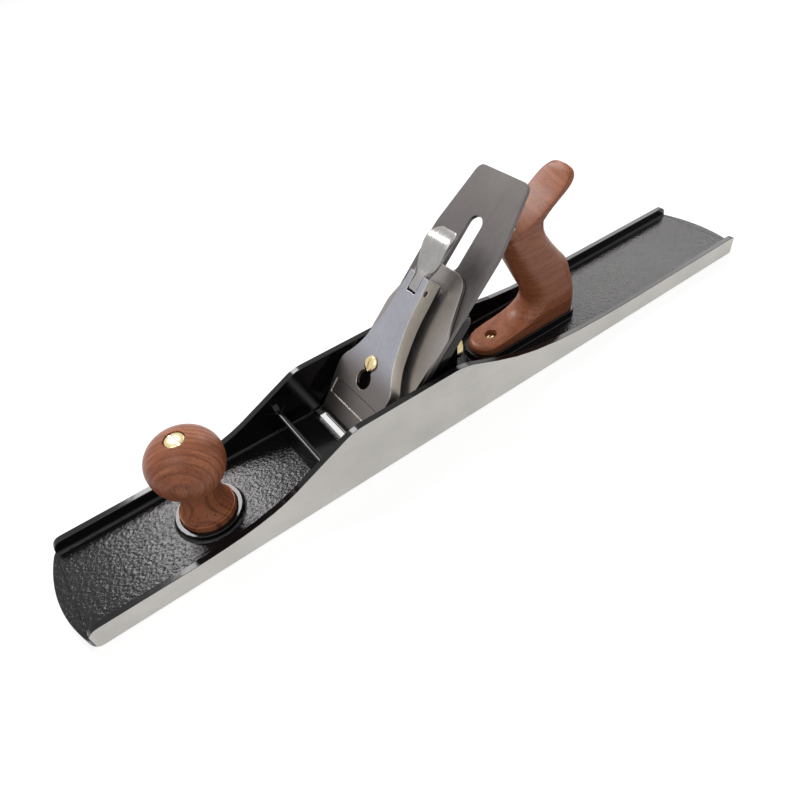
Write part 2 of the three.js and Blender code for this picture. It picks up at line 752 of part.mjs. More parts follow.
// Slotted screw with its head on z = 0, its shank below and a domed head above
function slottedScrew(head, headHeight, shank, length, tip = 0) {
  const dome = arcPoints(0, headHeight / 2, head / 2, headHeight / 2, 0, Math.PI / 2, domeSides);
  const point = tip > 0 ? [[shank / 2 - tip, -length]] : [];
  const body = turned([[0, -length], ...point, [shank / 2, tip - length], [shank / 2, 0], [head / 2, 0],
    ...dome], 0, 0, world, smallTurnSides);
  return cut(body, driverSlot(head, headHeight));
}

// Handle skinned over level slices: front and rear edges, thickness and squareness follow the height
function rearTote() {
  const rings = toteFrontShares.map(([level, ahead]) => {
    const front = ahead * toteFootLength;
    const rear = between(toteRearShares, level, 1) * toteFootLength;
    const half = between(toteThicknessShares, level, 1) * toteThickness / 2;
    const power = 2 / between(toteSquarenessShares, level, 1);
    return Array.from({ length: toteSides }, (_, i) => {
      const angle = Math.PI * 2 * (i + 0.5) / toteSides;
      const spread = (value) => Math.sign(value) * Math.abs(value) ** power;
      return new THREE.Vector3((front + rear) / 2 + spread(Math.cos(angle)) * (rear - front) / 2,
        spread(Math.sin(angle)) * half, level * toteHeight);
    });
  });
  const toward = new THREE.Matrix4().makeTranslation(-totePlace, 0, -padHeight - gap).multiply(toteRodFrame);
  return cut(loft(rings), rod(rodDiameter / 2 + gap, -toteHeight, toteHeight * 2, 0, 0, toward),
    rod(nutDiameter / 2 + gap, toteNutHeight - toteNutLength - gap, toteHeight * 2, 0, 0, toward),
    rod(toeScrewShank / 2 + gap, -overrun, toeScrewSeat + overrun, toeScrewPlace),
    rod(toeScrewHeadDiameter / 2 + gap, toeScrewSeat, toeScrewClear, toeScrewPlace));
}

// Bed plate with its crown, on a sloping foot with webs, stud boss and yoke ears
function frogCasting() {
  const top = -ironThickness - gap;
  const back = top - frogPlateThickness;
  const half = frogWidth / 2;
  const plate = alongZ(outline([
    [0, -half], [frogShoulder, -half, frogCornerReach], [frogShoulder, -frogCrownWidth / 2, frogCrownReach],
    [frogCrown, -frogCrownWidth / 2, frogCornerReach], [frogCrown, frogCrownWidth / 2, frogCornerReach],
    [frogShoulder, frogCrownWidth / 2, frogCrownReach], [frogShoulder, half, frogCornerReach], [0, half],
  ]), back, top, bed);
  const foot = alongX(rectangle(-half, gap, half, gap + frogBaseThickness), -seatBehindBed, frogBaseLength,
    seat);
  const webTop = placeIn(bed, frogWebTop, back + overlap);
  const webRear = placeIn(seat, frogBaseLength, gap + frogBaseThickness);
  const webShape = new THREE.Shape();
  webShape.moveTo(...placeIn(bed, 0, back + overlap));
  webShape.lineTo(...webTop);
  webShape.quadraticCurveTo(webTop[0], webRear[1] + frogBaseThickness, ...webRear);
  webShape.lineTo(...placeIn(seat, frogBaseLength, gap));
  webShape.closePath();
  const web = alongY(webShape, frogWebPlace, frogWebPlace + frogWebThickness);
  const boss = rod(frogBossDiameter / 2, frogBossStart, frogBossEnd, 0, 0, wheelAxis);
  const screwBoss = rod(capScrewDiameter, back - capScrewDiameter / 2, back + overlap, capScrewPlace, 0, bed);
  const ear0 = yokePlace - yokeEarDiameter / 2;
  const ear1 = yokePlace + yokeEarDiameter / 2;
  const earLow = -yokeBehind - yokeEarDiameter / 2;
  const earShape = outline([
    [ear0, back + overlap], [ear0, earLow, yokeEarReach],
    [ear1, earLow, yokeEarReach], [ear1, back + overlap],
  ]);
  const earIn = yokeWidth / 2 + slideGap;
  const ear = alongY(earShape, earIn, earIn + yokeEarWidth, bed);
  const sides = join(web, ear);
  const joined = join(plate, foot, sides, mirrored(sides), boss, screwBoss);
  const reach = frogWidth;
  const underSeat = alongX(rectangle(-reach, -reach, reach, gap), -reach, reach * 2, seat);
  const overBed = alongZ(rectangle(-reach, -reach, reach * 3, reach), top, reach, bed);
  const screwRoom = breakerScrewTravel + slideGap;
  const rootHalf = lateralRootWidth / 2 + lateralRoom;
  const inside = join(
    rod(capScrewDiameter / 2 + gap, back * 2, 0, capScrewPlace, 0, bed),
    alongY(rectangle(frogBossStart, wheelHeight + frogSlotRise, frogBossEnd + overrun, cheekHeight),
      -yokeArmWidth / 2 - slideGap, yokeArmWidth / 2 + slideGap),
    alongZ(rectangle(tonguePlace - tongueRoomToe, -yokeArmWidth / 2 - slideGap, yokePlace + tongueRoomHeel,
      yokeArmWidth / 2 + slideGap), back - overrun / 2, top + overrun, bed),
    alongZ(stadium(breakerScrewPlace - screwRoom, breakerScrewPlace + screwRoom, 0,
      breakerScrewHeadDiameter / 2 + slideGap), top - breakerScrewHeadHeight - slideGap * 2, top + overrun, bed),
    alongZ(rectangle(lateralRollerPlace - rollerDiameter / 2 - lateralRecessAhead, -rootHalf, frogCrown + overrun,
      rootHalf), top - lateralThickness - lateralRecessDepth, top + overrun, bed),
    rod(lateralRivetDiameter / 2 + gap, back - overrun, top, lateralPivot, 0, bed),
    rod(studDiameter / 2 + gap, -studLength - slideGap * 4, 0, 0, 0, wheelAxis),
    alongY(disc(yokePlace, -yokeBehind, yokePinDiameter / 2 + gap), -earIn - yokeEarWidth - overrun,
      earIn + yokeEarWidth + overrun, bed),
    alongX(disc(0, tabScrewHeight, tabScrewDiameter / 2 + gap), frogBaseLength - tabScrewLength - gap,
      frogBaseLength + overrun, seat),
    rod(pinDiameter / 2 + gap, 0, frogBaseThickness + overrun, frogPinPlace, frogPinSide, seat),
    rod(pinDiameter / 2 + gap, 0, frogBaseThickness + overrun, frogPinPlace, -frogPinSide, seat),
  );
  return cut(joined, underSeat, overBed, inside);
}

// Brass wheel about its own axis, from the front flange back to the dished rear face
function depthWheel() {
  const bore = studDiameter / 2 + gap;
  const hub = wheelHubDiameter / 2;
  const rim = wheelDiameter / 2;
  const rimStart = wheelFlange * 2 + wheelGrooveWidth;
  const end = rimStart + wheelRimWidth;
  const edge = wheelEdge;
  return turned([
    [bore, 0], [hub, 0], [hub, wheelFlange], [wheelGrooveDiameter / 2, wheelFlange],
    [wheelGrooveDiameter / 2, wheelFlange + wheelGrooveWidth], [hub, wheelFlange + wheelGrooveWidth],
    [hub, rimStart], [rim - edge, rimStart], [rim, rimStart + edge], [rim, end - edge], [rim - edge, end],
    [wheelDishDiameter / 2, end], [wheelDishDiameter / 2 - edge, end - wheelDish], [hub, end - wheelDish],
    [hub, end], [bore, end], [bore, 0],
  ]);
}

// Lever from the wheel's groove, over its pin, up through the iron's slot to the chipbreaker
function yokeLever() {
  const boss = yokeBossDiameter / 2;
  const pin = placeIn(bed, yokePlace, -yokeBehind);
  const forkPlace = wheelPlace + wheelFlange + wheelGrooveWidth / 2;
  const tip = gap + breakerThickness - slideGap;
  const half = tongueThickness / 2;
  const arm = alongY(outline([
    [yokePlace, -yokeBehind - boss * yokeArmShare], [tonguePlace + half, -yokeArmBehind - half, half],
    [tonguePlace - half, -yokeArmBehind, half / 2], [tonguePlace - half, tip, half / 2],
    [tonguePlace + half, tip, half / 2], [tonguePlace + half, yokeArmThickness - yokeArmBehind, half / 2],
    [yokePlace, boss * yokeArmShare - yokeBehind],
  ]), -yokeArmWidth / 2, yokeArmWidth / 2, bed);
  const wide = yokeWidth / 2;
  const hub = alongY(disc(yokePlace, -yokeBehind, boss), -wide, wide, bed);
  const leg = yokeLegThickness / 2;
  const legShape = outline([
    [pin[0], pin[1] - boss * yokeLegShare], [forkPlace - leg, pin[1] - boss * yokeLegDropShare],
    [forkPlace - leg, wheelHeight], [forkPlace + leg, wheelHeight], [forkPlace + leg, pin[1], boss / 2],
    [pin[0], pin[1] + boss * yokeLegShare],
  ]);
  const legs = alongY(legShape, -wide, wide);
  const ends = alongY(disc(forkPlace, wheelHeight, yokeForkDiameter / 2), -wide, wide);
  const throat = wheelGrooveDiameter / 2 + gap;
  const mouthTop = throat + slideGap;
  const mouthReach = throat * yokeMouthShare;
  const mouthShape = outline([
    [-throat, -wheelHeight], [throat, -wheelHeight],
    [throat, mouthTop, mouthReach], [-throat, mouthTop, mouthReach],
  ]);
  const mouth = alongX(mouthShape, 0, wheelDiameter, wheelAxisAcross);
  return cut(join(hub, arm, legs, ends), mouth,
    alongY(disc(yokePlace, -yokeBehind, yokePinDiameter / 2 + gap), -wide - overrun, wide + overrun, bed));
}

// Lever behind the iron: a flat root in the frog's recess, a bend over the crown and a thumb tab
function lateralLever() {
  const top = -ironThickness - 2 * gap;
  const under = top - lateralThickness;
  const root = lateralRollerPlace - lateralRootWidth / 2;
  const turn = frogCrown + lateralTurnAhead;
  const bend = [turn + lateralBendRun, lateralBendRise - lateralBack];
  const side = alongY(outline([
    [root, under], [turn, under, lateralTurnReach], [...bend, lateralBendReach],
    [lateralEnd, -lateralBack - lateralThickness], [lateralEnd, -lateralBack],
    [bend[0] + lateralThickness / 2, bend[1] + lateralThickness, lateralBendReach],
    [turn + lateralThickness / 2, top, lateralTurnReach], [root, top],
  ]), -lateralTabWidth, lateralTabWidth);
  const half = lateralRootWidth / 2;
  const neck = lateralNeckWidth / 2;
  const tab = lateralTabWidth / 2;
  const rightSide = [
    [root, half, half * lateralRoundShare], [lateralPivot + half, half, lateralShoulderReach],
    [turn, neck, lateralBendReach], [lateralEnd - tab, tab, lateralTabReach],
    [lateralEnd, tab, tab * lateralRoundShare],
  ];
  const plan = alongZ(outline([
    ...rightSide.map(([x, y, reach]) => [x, -y, reach]), ...rightSide.toReversed(),
  ]), -lateralBack * 2, 0);
  return cut(side.intersect(plan),
    rod(rollerRivetDiameter / 2 + gap, -lateralBack, 0, lateralRollerPlace),
    rod(lateralRivetDiameter / 2 + gap, -lateralBack, 0, lateralPivot),
    rod(lateralRivetHeadDiameter / 2 + gap, top - lateralRivetHeadHeight - gap * 4 / 3, 0, lateralPivot));
}

// Slotted cutting iron, bevelled at its lower edge
function cuttingIron() {
  const half = ironWidth / 2;
  const end = ironEndWidth / 2;
  const blank = alongZ(outline([
    [0, -half], [ironShoulder, -half, ironCornerReach], [ironLength, -end, ironCornerReach],
    [ironLength, end, ironCornerReach], [ironShoulder, half, ironCornerReach], [0, half],
  ]), -ironThickness, 0, world, planSides);
  const bevelRun = ironThickness / Math.tan(bevelAngle);
  const bevel = alongY(outline([[-bevelRun, 0], [0, 0], [bevelRun, -ironThickness], [bevelRun * 2,
    -ironThickness * 2], [-bevelRun, -ironThickness * 2]]), -ironWidth, ironWidth);
  const slot = stadium(ironKeyPlace, ironLength - ironSlotLand - ironSlotWidth / 2, 0, ironSlotWidth / 2);
  return cut(blank, bevel, alongZ(slot, -overrun, overrun, world, planSides),
    rod(ironKeyDiameter / 2, -overrun, overrun, ironKeyPlace));
}

// Chipbreaker: a curled front edge, then a flat with holes for cap screw, tongue and its own screw
function chipbreaker() {
  const half = breakerWidth / 2;
  const end = breakerEndWidth / 2;
  const low = gap;
  const top = low + breakerThickness;
  const shape = new THREE.Shape();
  const along = (rows) => rows.map(([run, up]) => [run * breakerBend, low + up * breakerHump]);
  const over = along(breakerTopShares);
  const under = along(breakerUnderShares);
  shape.moveTo(breakerSetback, low);
  shape.lineTo(breakerSetback, low + breakerThickness / 4);
  shape.quadraticCurveTo(...over[0], ...over[1]);
  shape.bezierCurveTo(...over[2], ...over[3], breakerBend, top);
  shape.lineTo(breakerLength, top);
  shape.lineTo(breakerLength, low);
  shape.lineTo(breakerBend, low);
  shape.bezierCurveTo(...under[0], ...under[1], ...under[2]);
  shape.quadraticCurveTo(...under[3], ...under[4]);
  shape.closePath();
  const plan = alongZ(outline([
    [0, -half], [breakerShoulder, -half, breakerShoulderReach], [breakerLength, -end, breakerCornerReach],
    [breakerLength, end, breakerCornerReach], [breakerShoulder, half, breakerShoulderReach], [0, half],
  ]), -overrun, breakerHump + overrun, world, planSides);
  const hole = breakerHoleWidth / 2;
  const holeReach = breakerHoleLength / 2 - hole;
  return cut(alongY(shape, -half, half, world, planSides).intersect(plan),
    alongZ(stadium(capScrewPlace - holeReach, capScrewPlace + holeReach, 0, hole), 0, breakerHump + overrun),
    alongZ(rectangle(tonguePlace - tongueSlotWidth / 2, -tongueSlotLength / 2,
      tonguePlace + tongueSlotWidth / 2, tongueSlotLength / 2, tongueSlotReach), 0, breakerHump + overrun),
    rod(breakerScrewDiameter / 2 + gap, 0, breakerHump + overrun, breakerScrewPlace));
}

// Lever cap: a hollow shell with a keyhole, a bordered panel at the nose and a slot for the cam lever
function leverCap() {
  const half = capWidth / 2;
  const places = capPlanShares.map(([run, out, reach = 0]) => [capPlace(run), out * half, reach * capLength]);
  const inside = places.slice(1).map(([x, out, reach]) =>
    [x === capEnd ? x + overrun : x, out - capSide, reach]);
  const bothSides = (rows) => outline([...rows.map(([x, y, reach]) => [x, -y, reach]), ...rows.toReversed()]);
  const noseFoot = gap + breakerHump + gap;
  const topLine = capTopShares.map(([run, up]) => [capPlace(run), up * capHeight]);
  const side = outline([
    [capNose, noseFoot], [capNose + capLipLength, noseFoot, capLipReach],
    [capNose + capRampLength, noseFoot + capRampRise, capRampReach], [capEnd / 2, capSideFoot, capFootReach],
    [capEnd, capSideFoot], ...topLine.toReversed(), [capNose, topLine[0][1] - capNoseDrop],
  ]);
  const under = (place) => [place, capHeightAt(place) - capSkin];
  const hollowStart = capNose + capNoseWall;
  const hollow = outline([[hollowStart, 0], [capEnd + overrun, 0], [capEnd + overrun, under(capEnd)[1]],
    under(topLine[1][0]), under(capPanelStart), [hollowStart, noseFoot + capHollowRise, capHollowReach]]);
  const full = half + overrun;
  const shell = alongY(side, -full, full).intersect(alongZ(bothSides(places), 0, camTabRise));
  const room = alongY(hollow, -full, full).intersect(alongZ(bothSides(inside), -overrun, camTabRise));
  const slot = camWidth / 2 + gap;
  const slotStart = camPlace - camRoot - gap;
  const keyPlace = capScrewPlace - capLift;
  const shelfHalf = springWidth / 2 + springPadMargin;
  const shelf = alongZ(rectangle(springRivetPlace - springPadLength / 2, -shelfHalf,
    springRivetPlace + springPadLength / 2, shelfHalf), springPadHeight, springPadHeight + capSkin * 3);
  const key = join(
    alongZ(stadium(keyPlace, capScrewPlace, 0, capScrewDiameter / 2 + gap), capSideFoot, camTabRise),
    rod(capKeyDiameter / 2, capSideFoot, camTabRise, keyPlace),
  );
  const carried = join(cut(shell, room), shelf.intersect(shell));
  const panelSlope = Math.atan2(topLine[1][1] - topLine[0][1], topLine[1][0] - topLine[0][0]);
  const panelFrame = frameOn(0, capHeightAt(0), panelSlope);
  const panel = rectangle(capPanelStart, -capPanelWidth / 2, capPanelEnd, capPanelWidth / 2, capPanelBorder);
  return cut(carried, key,
    alongZ(panel, -capPanelDepth, overrun, panelFrame),
    alongZ(rectangle(slotStart, -slot, capEnd + overrun, slot), 0, camTabRise),
    alongY(disc(camPlace, camHeight, camPinDiameter / 2 + gap), -capEnd, capEnd),
    rod(springRivetDiameter / 2 + gap, 0, springPadHeight + springRivetDepth + gap, springRivetPlace));
}

// Place on the bed from a share of the lever cap's length
function capPlace(run) {
  return capNose + run * capLength;
}

// Cam lever about its pin: a root in the cap's slot, a lobe towards the leaf spring and a curved thumb tab
function camLever() {
  const tab = camTabEnd - camPlace;
  const rise = camTabRise - camHeight;
  const along = (rows) => rows.map(([run, up]) => new THREE.Vector2(run * tab, up * rise));
  const top = along(camTopShares);
  const under = along(camUnderShares);
  const shape = new THREE.Shape();
  shape.absarc(0, 0, camRoot, Math.PI, Math.PI / 2, true);
  shape.bezierCurveTo(...top[0], ...top[1], ...top[2]);
  shape.bezierCurveTo(...top[3], ...top[4], ...top[5]);
  shape.lineTo(...under[0]);
  shape.bezierCurveTo(...under[1], ...under[2], ...under[3]);
  shape.quadraticCurveTo(...under[4], camLobeRadius, camLobeRadius * camLobeShare - lobeDrop);
  shape.absarc(0, -lobeDrop, camLobeRadius, 0, -Math.PI, true);
  shape.closePath();
  const waist = camWidth / 2;
  const wide = camTabWidth / 2;
  const clear = capEnd - camPlace + gap;
  const rightSide = camPlanShares.map(([run, side, reach]) => [run * tab, side * wide, reach * wide]);
  const plan = outline([
    [-camLobeRadius - overrun, -waist], [clear, -waist], ...rightSide.map(([x, y, reach]) => [x, -y, reach]),
    ...rightSide.toReversed(), [clear, waist], [-camLobeRadius - overrun, waist],
  ]);
  return cut(alongY(shape, -wide, wide).intersect(alongZ(plan, -camHeight * 2, camTabRise)),
    alongY(disc(0, 0, camPinDiameter / 2 + gap), -wide - overrun, wide + overrun));
}

// Leaf spring: flat under the cap, then sloping down to lie just above the chipbreaker
function capSpring() {
  const top = springPadHeight - gap;
  const foot = gap + breakerThickness + gap;
  const t = springThickness;
  const shape = outline([
    [springStart, top - t], [springBend, top - t, springReach], [springFoot, foot, springReach],
    [springEnd, foot], [springEnd, foot + t], [springFoot, foot + t, springReach],
    [springBend, top, springReach], [springStart, top],
  ]);
  return cut(alongY(shape, -springWidth / 2, springWidth / 2),
    rod(springRivetDiameter / 2 + gap, 0, springPadHeight, springRivetPlace));
}

// A round pin with a domed head on z = 0
function rivet(head, headHeight, shank, length) {
  const rise = headHeight * rivetDomeShare;
  const dome = arcPoints(0, headHeight - rise, head / 2, rise, 0, Math.PI / 2, domeSides);
  return turned([[0, -length], [shank / 2, -length], [shank / 2, 0], [head / 2, 0], ...dome], 0, 0, world,
    smallTurnSides);
}

// Height of the lever cap's top above the bed
function capHeightAt(place) {
  const run = (place - capNose) / capLength;
  const after = Math.max(capTopShares.findIndex(([share]) => share >= run), 1);
  const [a, b] = [capTopShares[after - 1], capTopShares[after]];
  return capHeight * (a[1] + (b[1] - a[1]) * (run - a[0]) / (b[0] - a[0]));
}

// Screw of the frog's adjustment: a threaded shank and a grooved, slotted head
function adjustingScrew() {
  const head = adjusterHeadDiameter / 2;
  const core = head - adjusterFlange;
  const groove = tabThickness + gap * 2;
  const start = -adjusterFlange * 2;
  const end = groove + adjusterFlange;
  const body = turned([
    [0, start - adjusterShank], [adjusterDiameter / 2, start - adjusterShank], [adjusterDiameter / 2, start],
    [head, start], [head, 0], [core, 0], [core, groove], [head, groove], [head, end], [0, end],
  ], 0, 0, world, smallTurnSides);
  return cut(body, driverSlot(adjusterHeadDiameter, end));
}

// Plate on the frog's rear edge whose lower edge rides in the adjusting screw's groove
function adjustingTab() {
  const low = adjusterHeadDiameter / 2 - adjusterFlange + gap - adjusterDepth;
  const high = gap + frogBaseThickness;
  const start = frogBaseLength + gap;
  const shape = rectangle(-tabWidth / 2, low, tabWidth / 2, high, tabReach);
  const hole = disc(0, tabScrewHeight, tabScrewDiameter / 2 + gap);
  return cut(alongX(shape, start, start + tabThickness), alongX(hole, start - overrun, start + overrun));
}

// Frames whose z axis runs along a slope's x axis, or points down
function acrossFrame(x, y, z) {
  return new THREE.Matrix4().makeRotationY(Math.PI / 2).setPosition(x, y, z);
}

function downFrame(x, y, z) {
  return new THREE.Matrix4().makeRotationX(Math.PI).setPosition(x, y, z);
}

function atPlace(x, y, z) {
  return new THREE.Matrix4().makeTranslation(x, y, z);
}

function metal(color, roughness, metalness = 1) {
  return new THREE.MeshStandardMaterial({ color, roughness, metalness });
}

const blackPaint = metal(0x17171a, 0.45, 0);
const steel = metal(0x8f8b8c, 0.35);
const satinSteel = metal(0xa9a5ad, 0.3);
const brass = metal(0xc9a864, 0.3);
const darkSteel = metal(0x55524f, 0.5);
const wood = metal(0x8a5240, 0.5, 0);

const plane = new THREE.Group();
const onBed = new THREE.Group();
onBed.applyMatrix4(bed);
const onSeat = new THREE.Group();
onSeat.applyMatrix4(seat);
plane.add(onBed, onSeat);

// Casting and handles
piece(plane, "plane_body", blackPaint, planeBody());
const knobFoot = bossHeight - bossRecess + gap;
const knobTop = knobFoot + knobBallHeight + knobCrownRise;
piece(plane, "front_knob", wood, frontKnob(), atPlace(knobPlace, 0, knobFoot));
piece(plane, "knob_nut", brass, barrelNut(nutLength), atPlace(knobPlace, 0, knobTop - gap));
piece(plane, "knob_rod", darkSteel,
  rod(rodDiameter / 2, floorThickness / 2 + gap, knobTop - gap * 2 - nutLength / 2, knobPlace));
piece(plane, "rear_tote", wood, rearTote(), atPlace(totePlace, 0, padHeight + gap));
piece(plane, "tote_nut", brass, barrelNut(toteNutLength),
  toteRodFrame.clone().multiply(atPlace(0, 0, toteNutHeight)));
piece(plane, "tote_rod", darkSteel,
  rod(rodDiameter / 2, gap - rodSink, toteNutHeight - toteNutLength / 2 - gap), toteRodFrame);
const toeScrewLength = toeScrewSeat + gap + padHeight - floorThickness / 2;
piece(plane, "tote_toe_screw", brass,
  slottedScrew(toeScrewHeadDiameter, toeScrewHeadHeight, toeScrewShank, toeScrewLength),
  atPlace(totePlace + toeScrewPlace, 0, padHeight + gap * 2 + toeScrewSeat));

// Frog on its seat
piece(plane, "frog", blackPaint, frogCasting());
const pinTop = frogBaseThickness + gap * 2;
const lockEnd = frogPinPlace + pinDiameter / 2 + gap + lockScrewLength;
for (const [side, sign] of [["left", -1], ["right", 1]]) {
  piece(onSeat, `frog_pin_${side}`, darkSteel,
    rivet(pinHeadDiameter, pinHeadHeight, pinDiameter, pinTop + pinDepth),
    atPlace(frogPinPlace, sign * frogPinSide, pinTop));
  piece(onSeat, `frog_lock_screw_${side}`, darkSteel,
    slottedScrew(lockScrewDiameter, driverSlotDepth, lockScrewDiameter, lockScrewLength, lockTip),
    acrossFrame(lockEnd, sign * frogPinSide, -lockScrewDepth));
}
piece(onSeat, "frog_adjusting_screw", darkSteel, adjustingScrew(),
  acrossFrame(frogBaseLength, 0, -adjusterDepth));
piece(onSeat, "frog_adjusting_tab", darkSteel, adjustingTab());
const tabScrewShank = tabScrewLength + tabThickness + gap;
piece(onSeat, "frog_tab_screw", darkSteel,
  slottedScrew(tabScrewHeadDiameter, tabScrewHeadHeight, tabScrewDiameter, tabScrewShank),
  acrossFrame(frogBaseLength + tabThickness + gap * 2, 0, tabScrewHeight));

// Depth adjuster
piece(plane, "depth_adjuster_stud", darkSteel, rod(studDiameter / 2, -studLength, 0), wheelAxis);
piece(plane, "depth_adjuster_wheel", brass, depthWheel(), acrossFrame(wheelPlace, 0, wheelHeight));
piece(plane, "yoke_lever", darkSteel, yokeLever());
const earOut = yokeWidth / 2 + slideGap + yokeEarWidth;
piece(onBed, "yoke_pin", darkSteel, alongY(disc(0, 0, yokePinDiameter / 2), -earOut, earOut),
  atPlace(yokePlace, 0, -yokeBehind));

// Lateral adjuster
const leverTop = -ironThickness - 2 * gap;
piece(onBed, "lateral_lever", darkSteel, lateralLever());
const lateralRivetLength = frogPlateThickness - lateralRivetHeadHeight - gap * 2;
piece(onBed, "lateral_lever_rivet", darkSteel,
  rivet(lateralRivetHeadDiameter, lateralRivetHeadHeight, lateralRivetDiameter, lateralRivetLength),
  atPlace(lateralPivot, 0, leverTop - gap / 3 - lateralRivetHeadHeight));
piece(onBed, "lateral_lever_roller", darkSteel,
  cut(rod(rollerDiameter / 2, 0, rollerHeight), rod(rollerRivetDiameter / 2 + gap, -overrun, overrun)),
  atPlace(lateralRollerPlace, 0, leverTop + gap));
const rollerRivetLength = rollerHeight + gap * 2 + lateralThickness;
piece(onBed, "lateral_roller_rivet", darkSteel,
  rivet(rollerRivetHeadDiameter, rollerRivetHeadHeight, rollerRivetDiameter, rollerRivetLength),
  atPlace(lateralRollerPlace, 0, leverTop + gap * 2 + rollerHeight));

// Iron and chipbreaker, lifted a little up the bed at rest
piece(onBed, "iron", steel, cuttingIron(), atPlace(edgeLift, 0, 0));
piece(onBed, "chipbreaker", steel, chipbreaker());
piece(onBed, "chipbreaker_screw", darkSteel,
  slottedScrew(breakerScrewHeadDiameter, breakerScrewHeadHeight, breakerScrewDiameter,
    ironThickness + breakerThickness + gap), downFrame(breakerScrewPlace, 0, -ironThickness - gap));

// Lever cap
const capSeat = capHeightAt(capScrewPlace) + gap;
piece(onBed, "lever_cap", satinSteel, leverCap());
piece(onBed, "cam_lever", satinSteel, camLever(), atPlace(camPlace, 0, camHeight));
piece(onBed, "cam_pin", darkSteel,
  alongY(disc(0, 0, camPinDiameter / 2), -camPinLength / 2, camPinLength / 2),
  atPlace(camPlace, 0, camHeight));
piece(onBed, "cap_spring", darkSteel, capSpring());
const springRivetLength = springThickness + gap + springRivetDepth;
piece(onBed, "cap_spring_rivet", darkSteel,
  rivet(springRivetHeadDiameter, springRivetHeadHeight, springRivetDiameter, springRivetLength),
  downFrame(springRivetPlace, 0, springPadHeight - springThickness - gap * 2));
piece(onBed, "lever_cap_screw", brass,
  slottedScrew(capScrewHeadDiameter, capScrewHeadHeight, capScrewDiameter, capSeat + capScrewDepth),
  atPlace(capScrewPlace, 0, capSeat));

export default plane;
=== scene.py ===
"""Finished look of a flat-sided jointer plane: its pieces, their finishes, the floor and the camera."""

import json
import math

import bmesh
import bpy
from bpy.props import FloatProperty, FloatVectorProperty, IntProperty, PointerProperty
from mathutils import Matrix, Vector
from mathutils.bvhtree import BVHTree

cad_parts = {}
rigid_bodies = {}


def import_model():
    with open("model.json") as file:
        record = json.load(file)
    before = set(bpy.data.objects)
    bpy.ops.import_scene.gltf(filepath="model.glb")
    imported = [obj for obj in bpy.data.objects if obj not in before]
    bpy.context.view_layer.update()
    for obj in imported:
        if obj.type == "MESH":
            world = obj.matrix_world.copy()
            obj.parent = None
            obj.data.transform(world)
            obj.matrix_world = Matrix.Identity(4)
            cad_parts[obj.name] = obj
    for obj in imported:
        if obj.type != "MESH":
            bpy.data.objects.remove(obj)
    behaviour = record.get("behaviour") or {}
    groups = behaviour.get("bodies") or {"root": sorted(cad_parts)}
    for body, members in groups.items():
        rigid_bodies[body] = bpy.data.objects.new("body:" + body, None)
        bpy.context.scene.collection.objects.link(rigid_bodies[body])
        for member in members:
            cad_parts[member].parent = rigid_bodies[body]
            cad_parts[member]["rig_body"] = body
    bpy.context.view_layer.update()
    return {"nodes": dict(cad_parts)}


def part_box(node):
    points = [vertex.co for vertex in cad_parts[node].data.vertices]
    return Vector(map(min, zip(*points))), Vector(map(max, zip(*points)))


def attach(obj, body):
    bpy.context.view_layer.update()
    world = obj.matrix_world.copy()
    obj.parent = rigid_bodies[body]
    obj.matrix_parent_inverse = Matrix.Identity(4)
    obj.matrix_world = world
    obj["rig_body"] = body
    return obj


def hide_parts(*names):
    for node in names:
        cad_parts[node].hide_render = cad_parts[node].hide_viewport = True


bl_info = {
    "name": "Jointer plane",
    "version": (1, 0, 0),
    "blender": (4, 5, 0),
    "location": "View3D > Sidebar > Plane",
    "description": "Dresses the packed jointer plane with finished pieces and materials",
    "category": "Object",
}

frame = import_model()
QUARTER_TURN_X, QUARTER_TURN_Y = (Matrix.Rotation(math.pi / 2, 4, axis) for axis in "XY")
DIGITS = 5  # shown after the point of a length
TURNED_TREE = "Turned piece"

# Distances in metres below which points are one
TURNED_MERGE = 1e-7
SHAPED_MERGE = 1e-6
COPIED_MERGE = 2e-6

# Angles between faces: a flat, a slight crease and a real edge
FLAT_ANGLE = math.radians(0.4)
CREASE_ANGLE = math.radians(0.8)
EDGE_ANGLE = math.radians(28)

# Part of a face's normal along Y: under the first on a level face, over the others on a wall and a side
LEVEL_SHARE = 0.5
WALL_SHARE = 0.6
SIDE_SHARE = 0.8


def length(label, description, default):
    """A length in metres that a user may change."""
    return FloatProperty(name=label, description=description, default=default, min=0, unit="LENGTH",
                         precision=DIGITS)


def area(label, description, default):
    """An area in square metres."""
    return FloatProperty(name=label, description=description, default=default, min=0, unit="AREA")


def place(label, description, default):
    """A place along an axis, in metres."""
    return FloatProperty(name=label, description=description, default=default, unit="LENGTH",
                         precision=DIGITS)


def turn(label, description, default):
    """An angle in radians."""
    return FloatProperty(name=label, description=description, default=default, subtype="ANGLE")


def share(label, description, default):
    """A number from 0 to 1."""
    return FloatProperty(name=label, description=description, default=default, min=0, max=1,
                         subtype="FACTOR")


def colour(label, description, default):
    """A linear colour."""
    return FloatVectorProperty(name=label, description=description, default=default, min=0, max=1,
                               subtype="COLOR")


def number(label, description, default, least):
    """A whole number of sides, layers or steps."""
    return IntProperty(name=label, description=description, default=default, min=least)


class CastingSizes(bpy.types.PropertyGroup):
    """Sizes of the sole casting and the frog that the finish follows."""

    edge_round: length("Edge round", "Radius on the painted castings' edges", 0.0004)
    crinkle_top: length("Crinkle top", "Height up to which the floor has crinkled paint", 0.0067)
    bed_place: place("Bed place", "Where the bed's plane meets the sole", -0.088)
    bed_angle: turn("Bed angle", "Slope of the bed", math.pi / 4)
    corner_depth: length("Corner depth", "How far in the ground side follows a corner", 0.003)
    mouth_place: place("Mouth place", "Toe side edge of the mouth, along the sole", -0.0967)
    mouth_rise: length("Mouth rise", "Height of that edge above the sole", 0.0085)


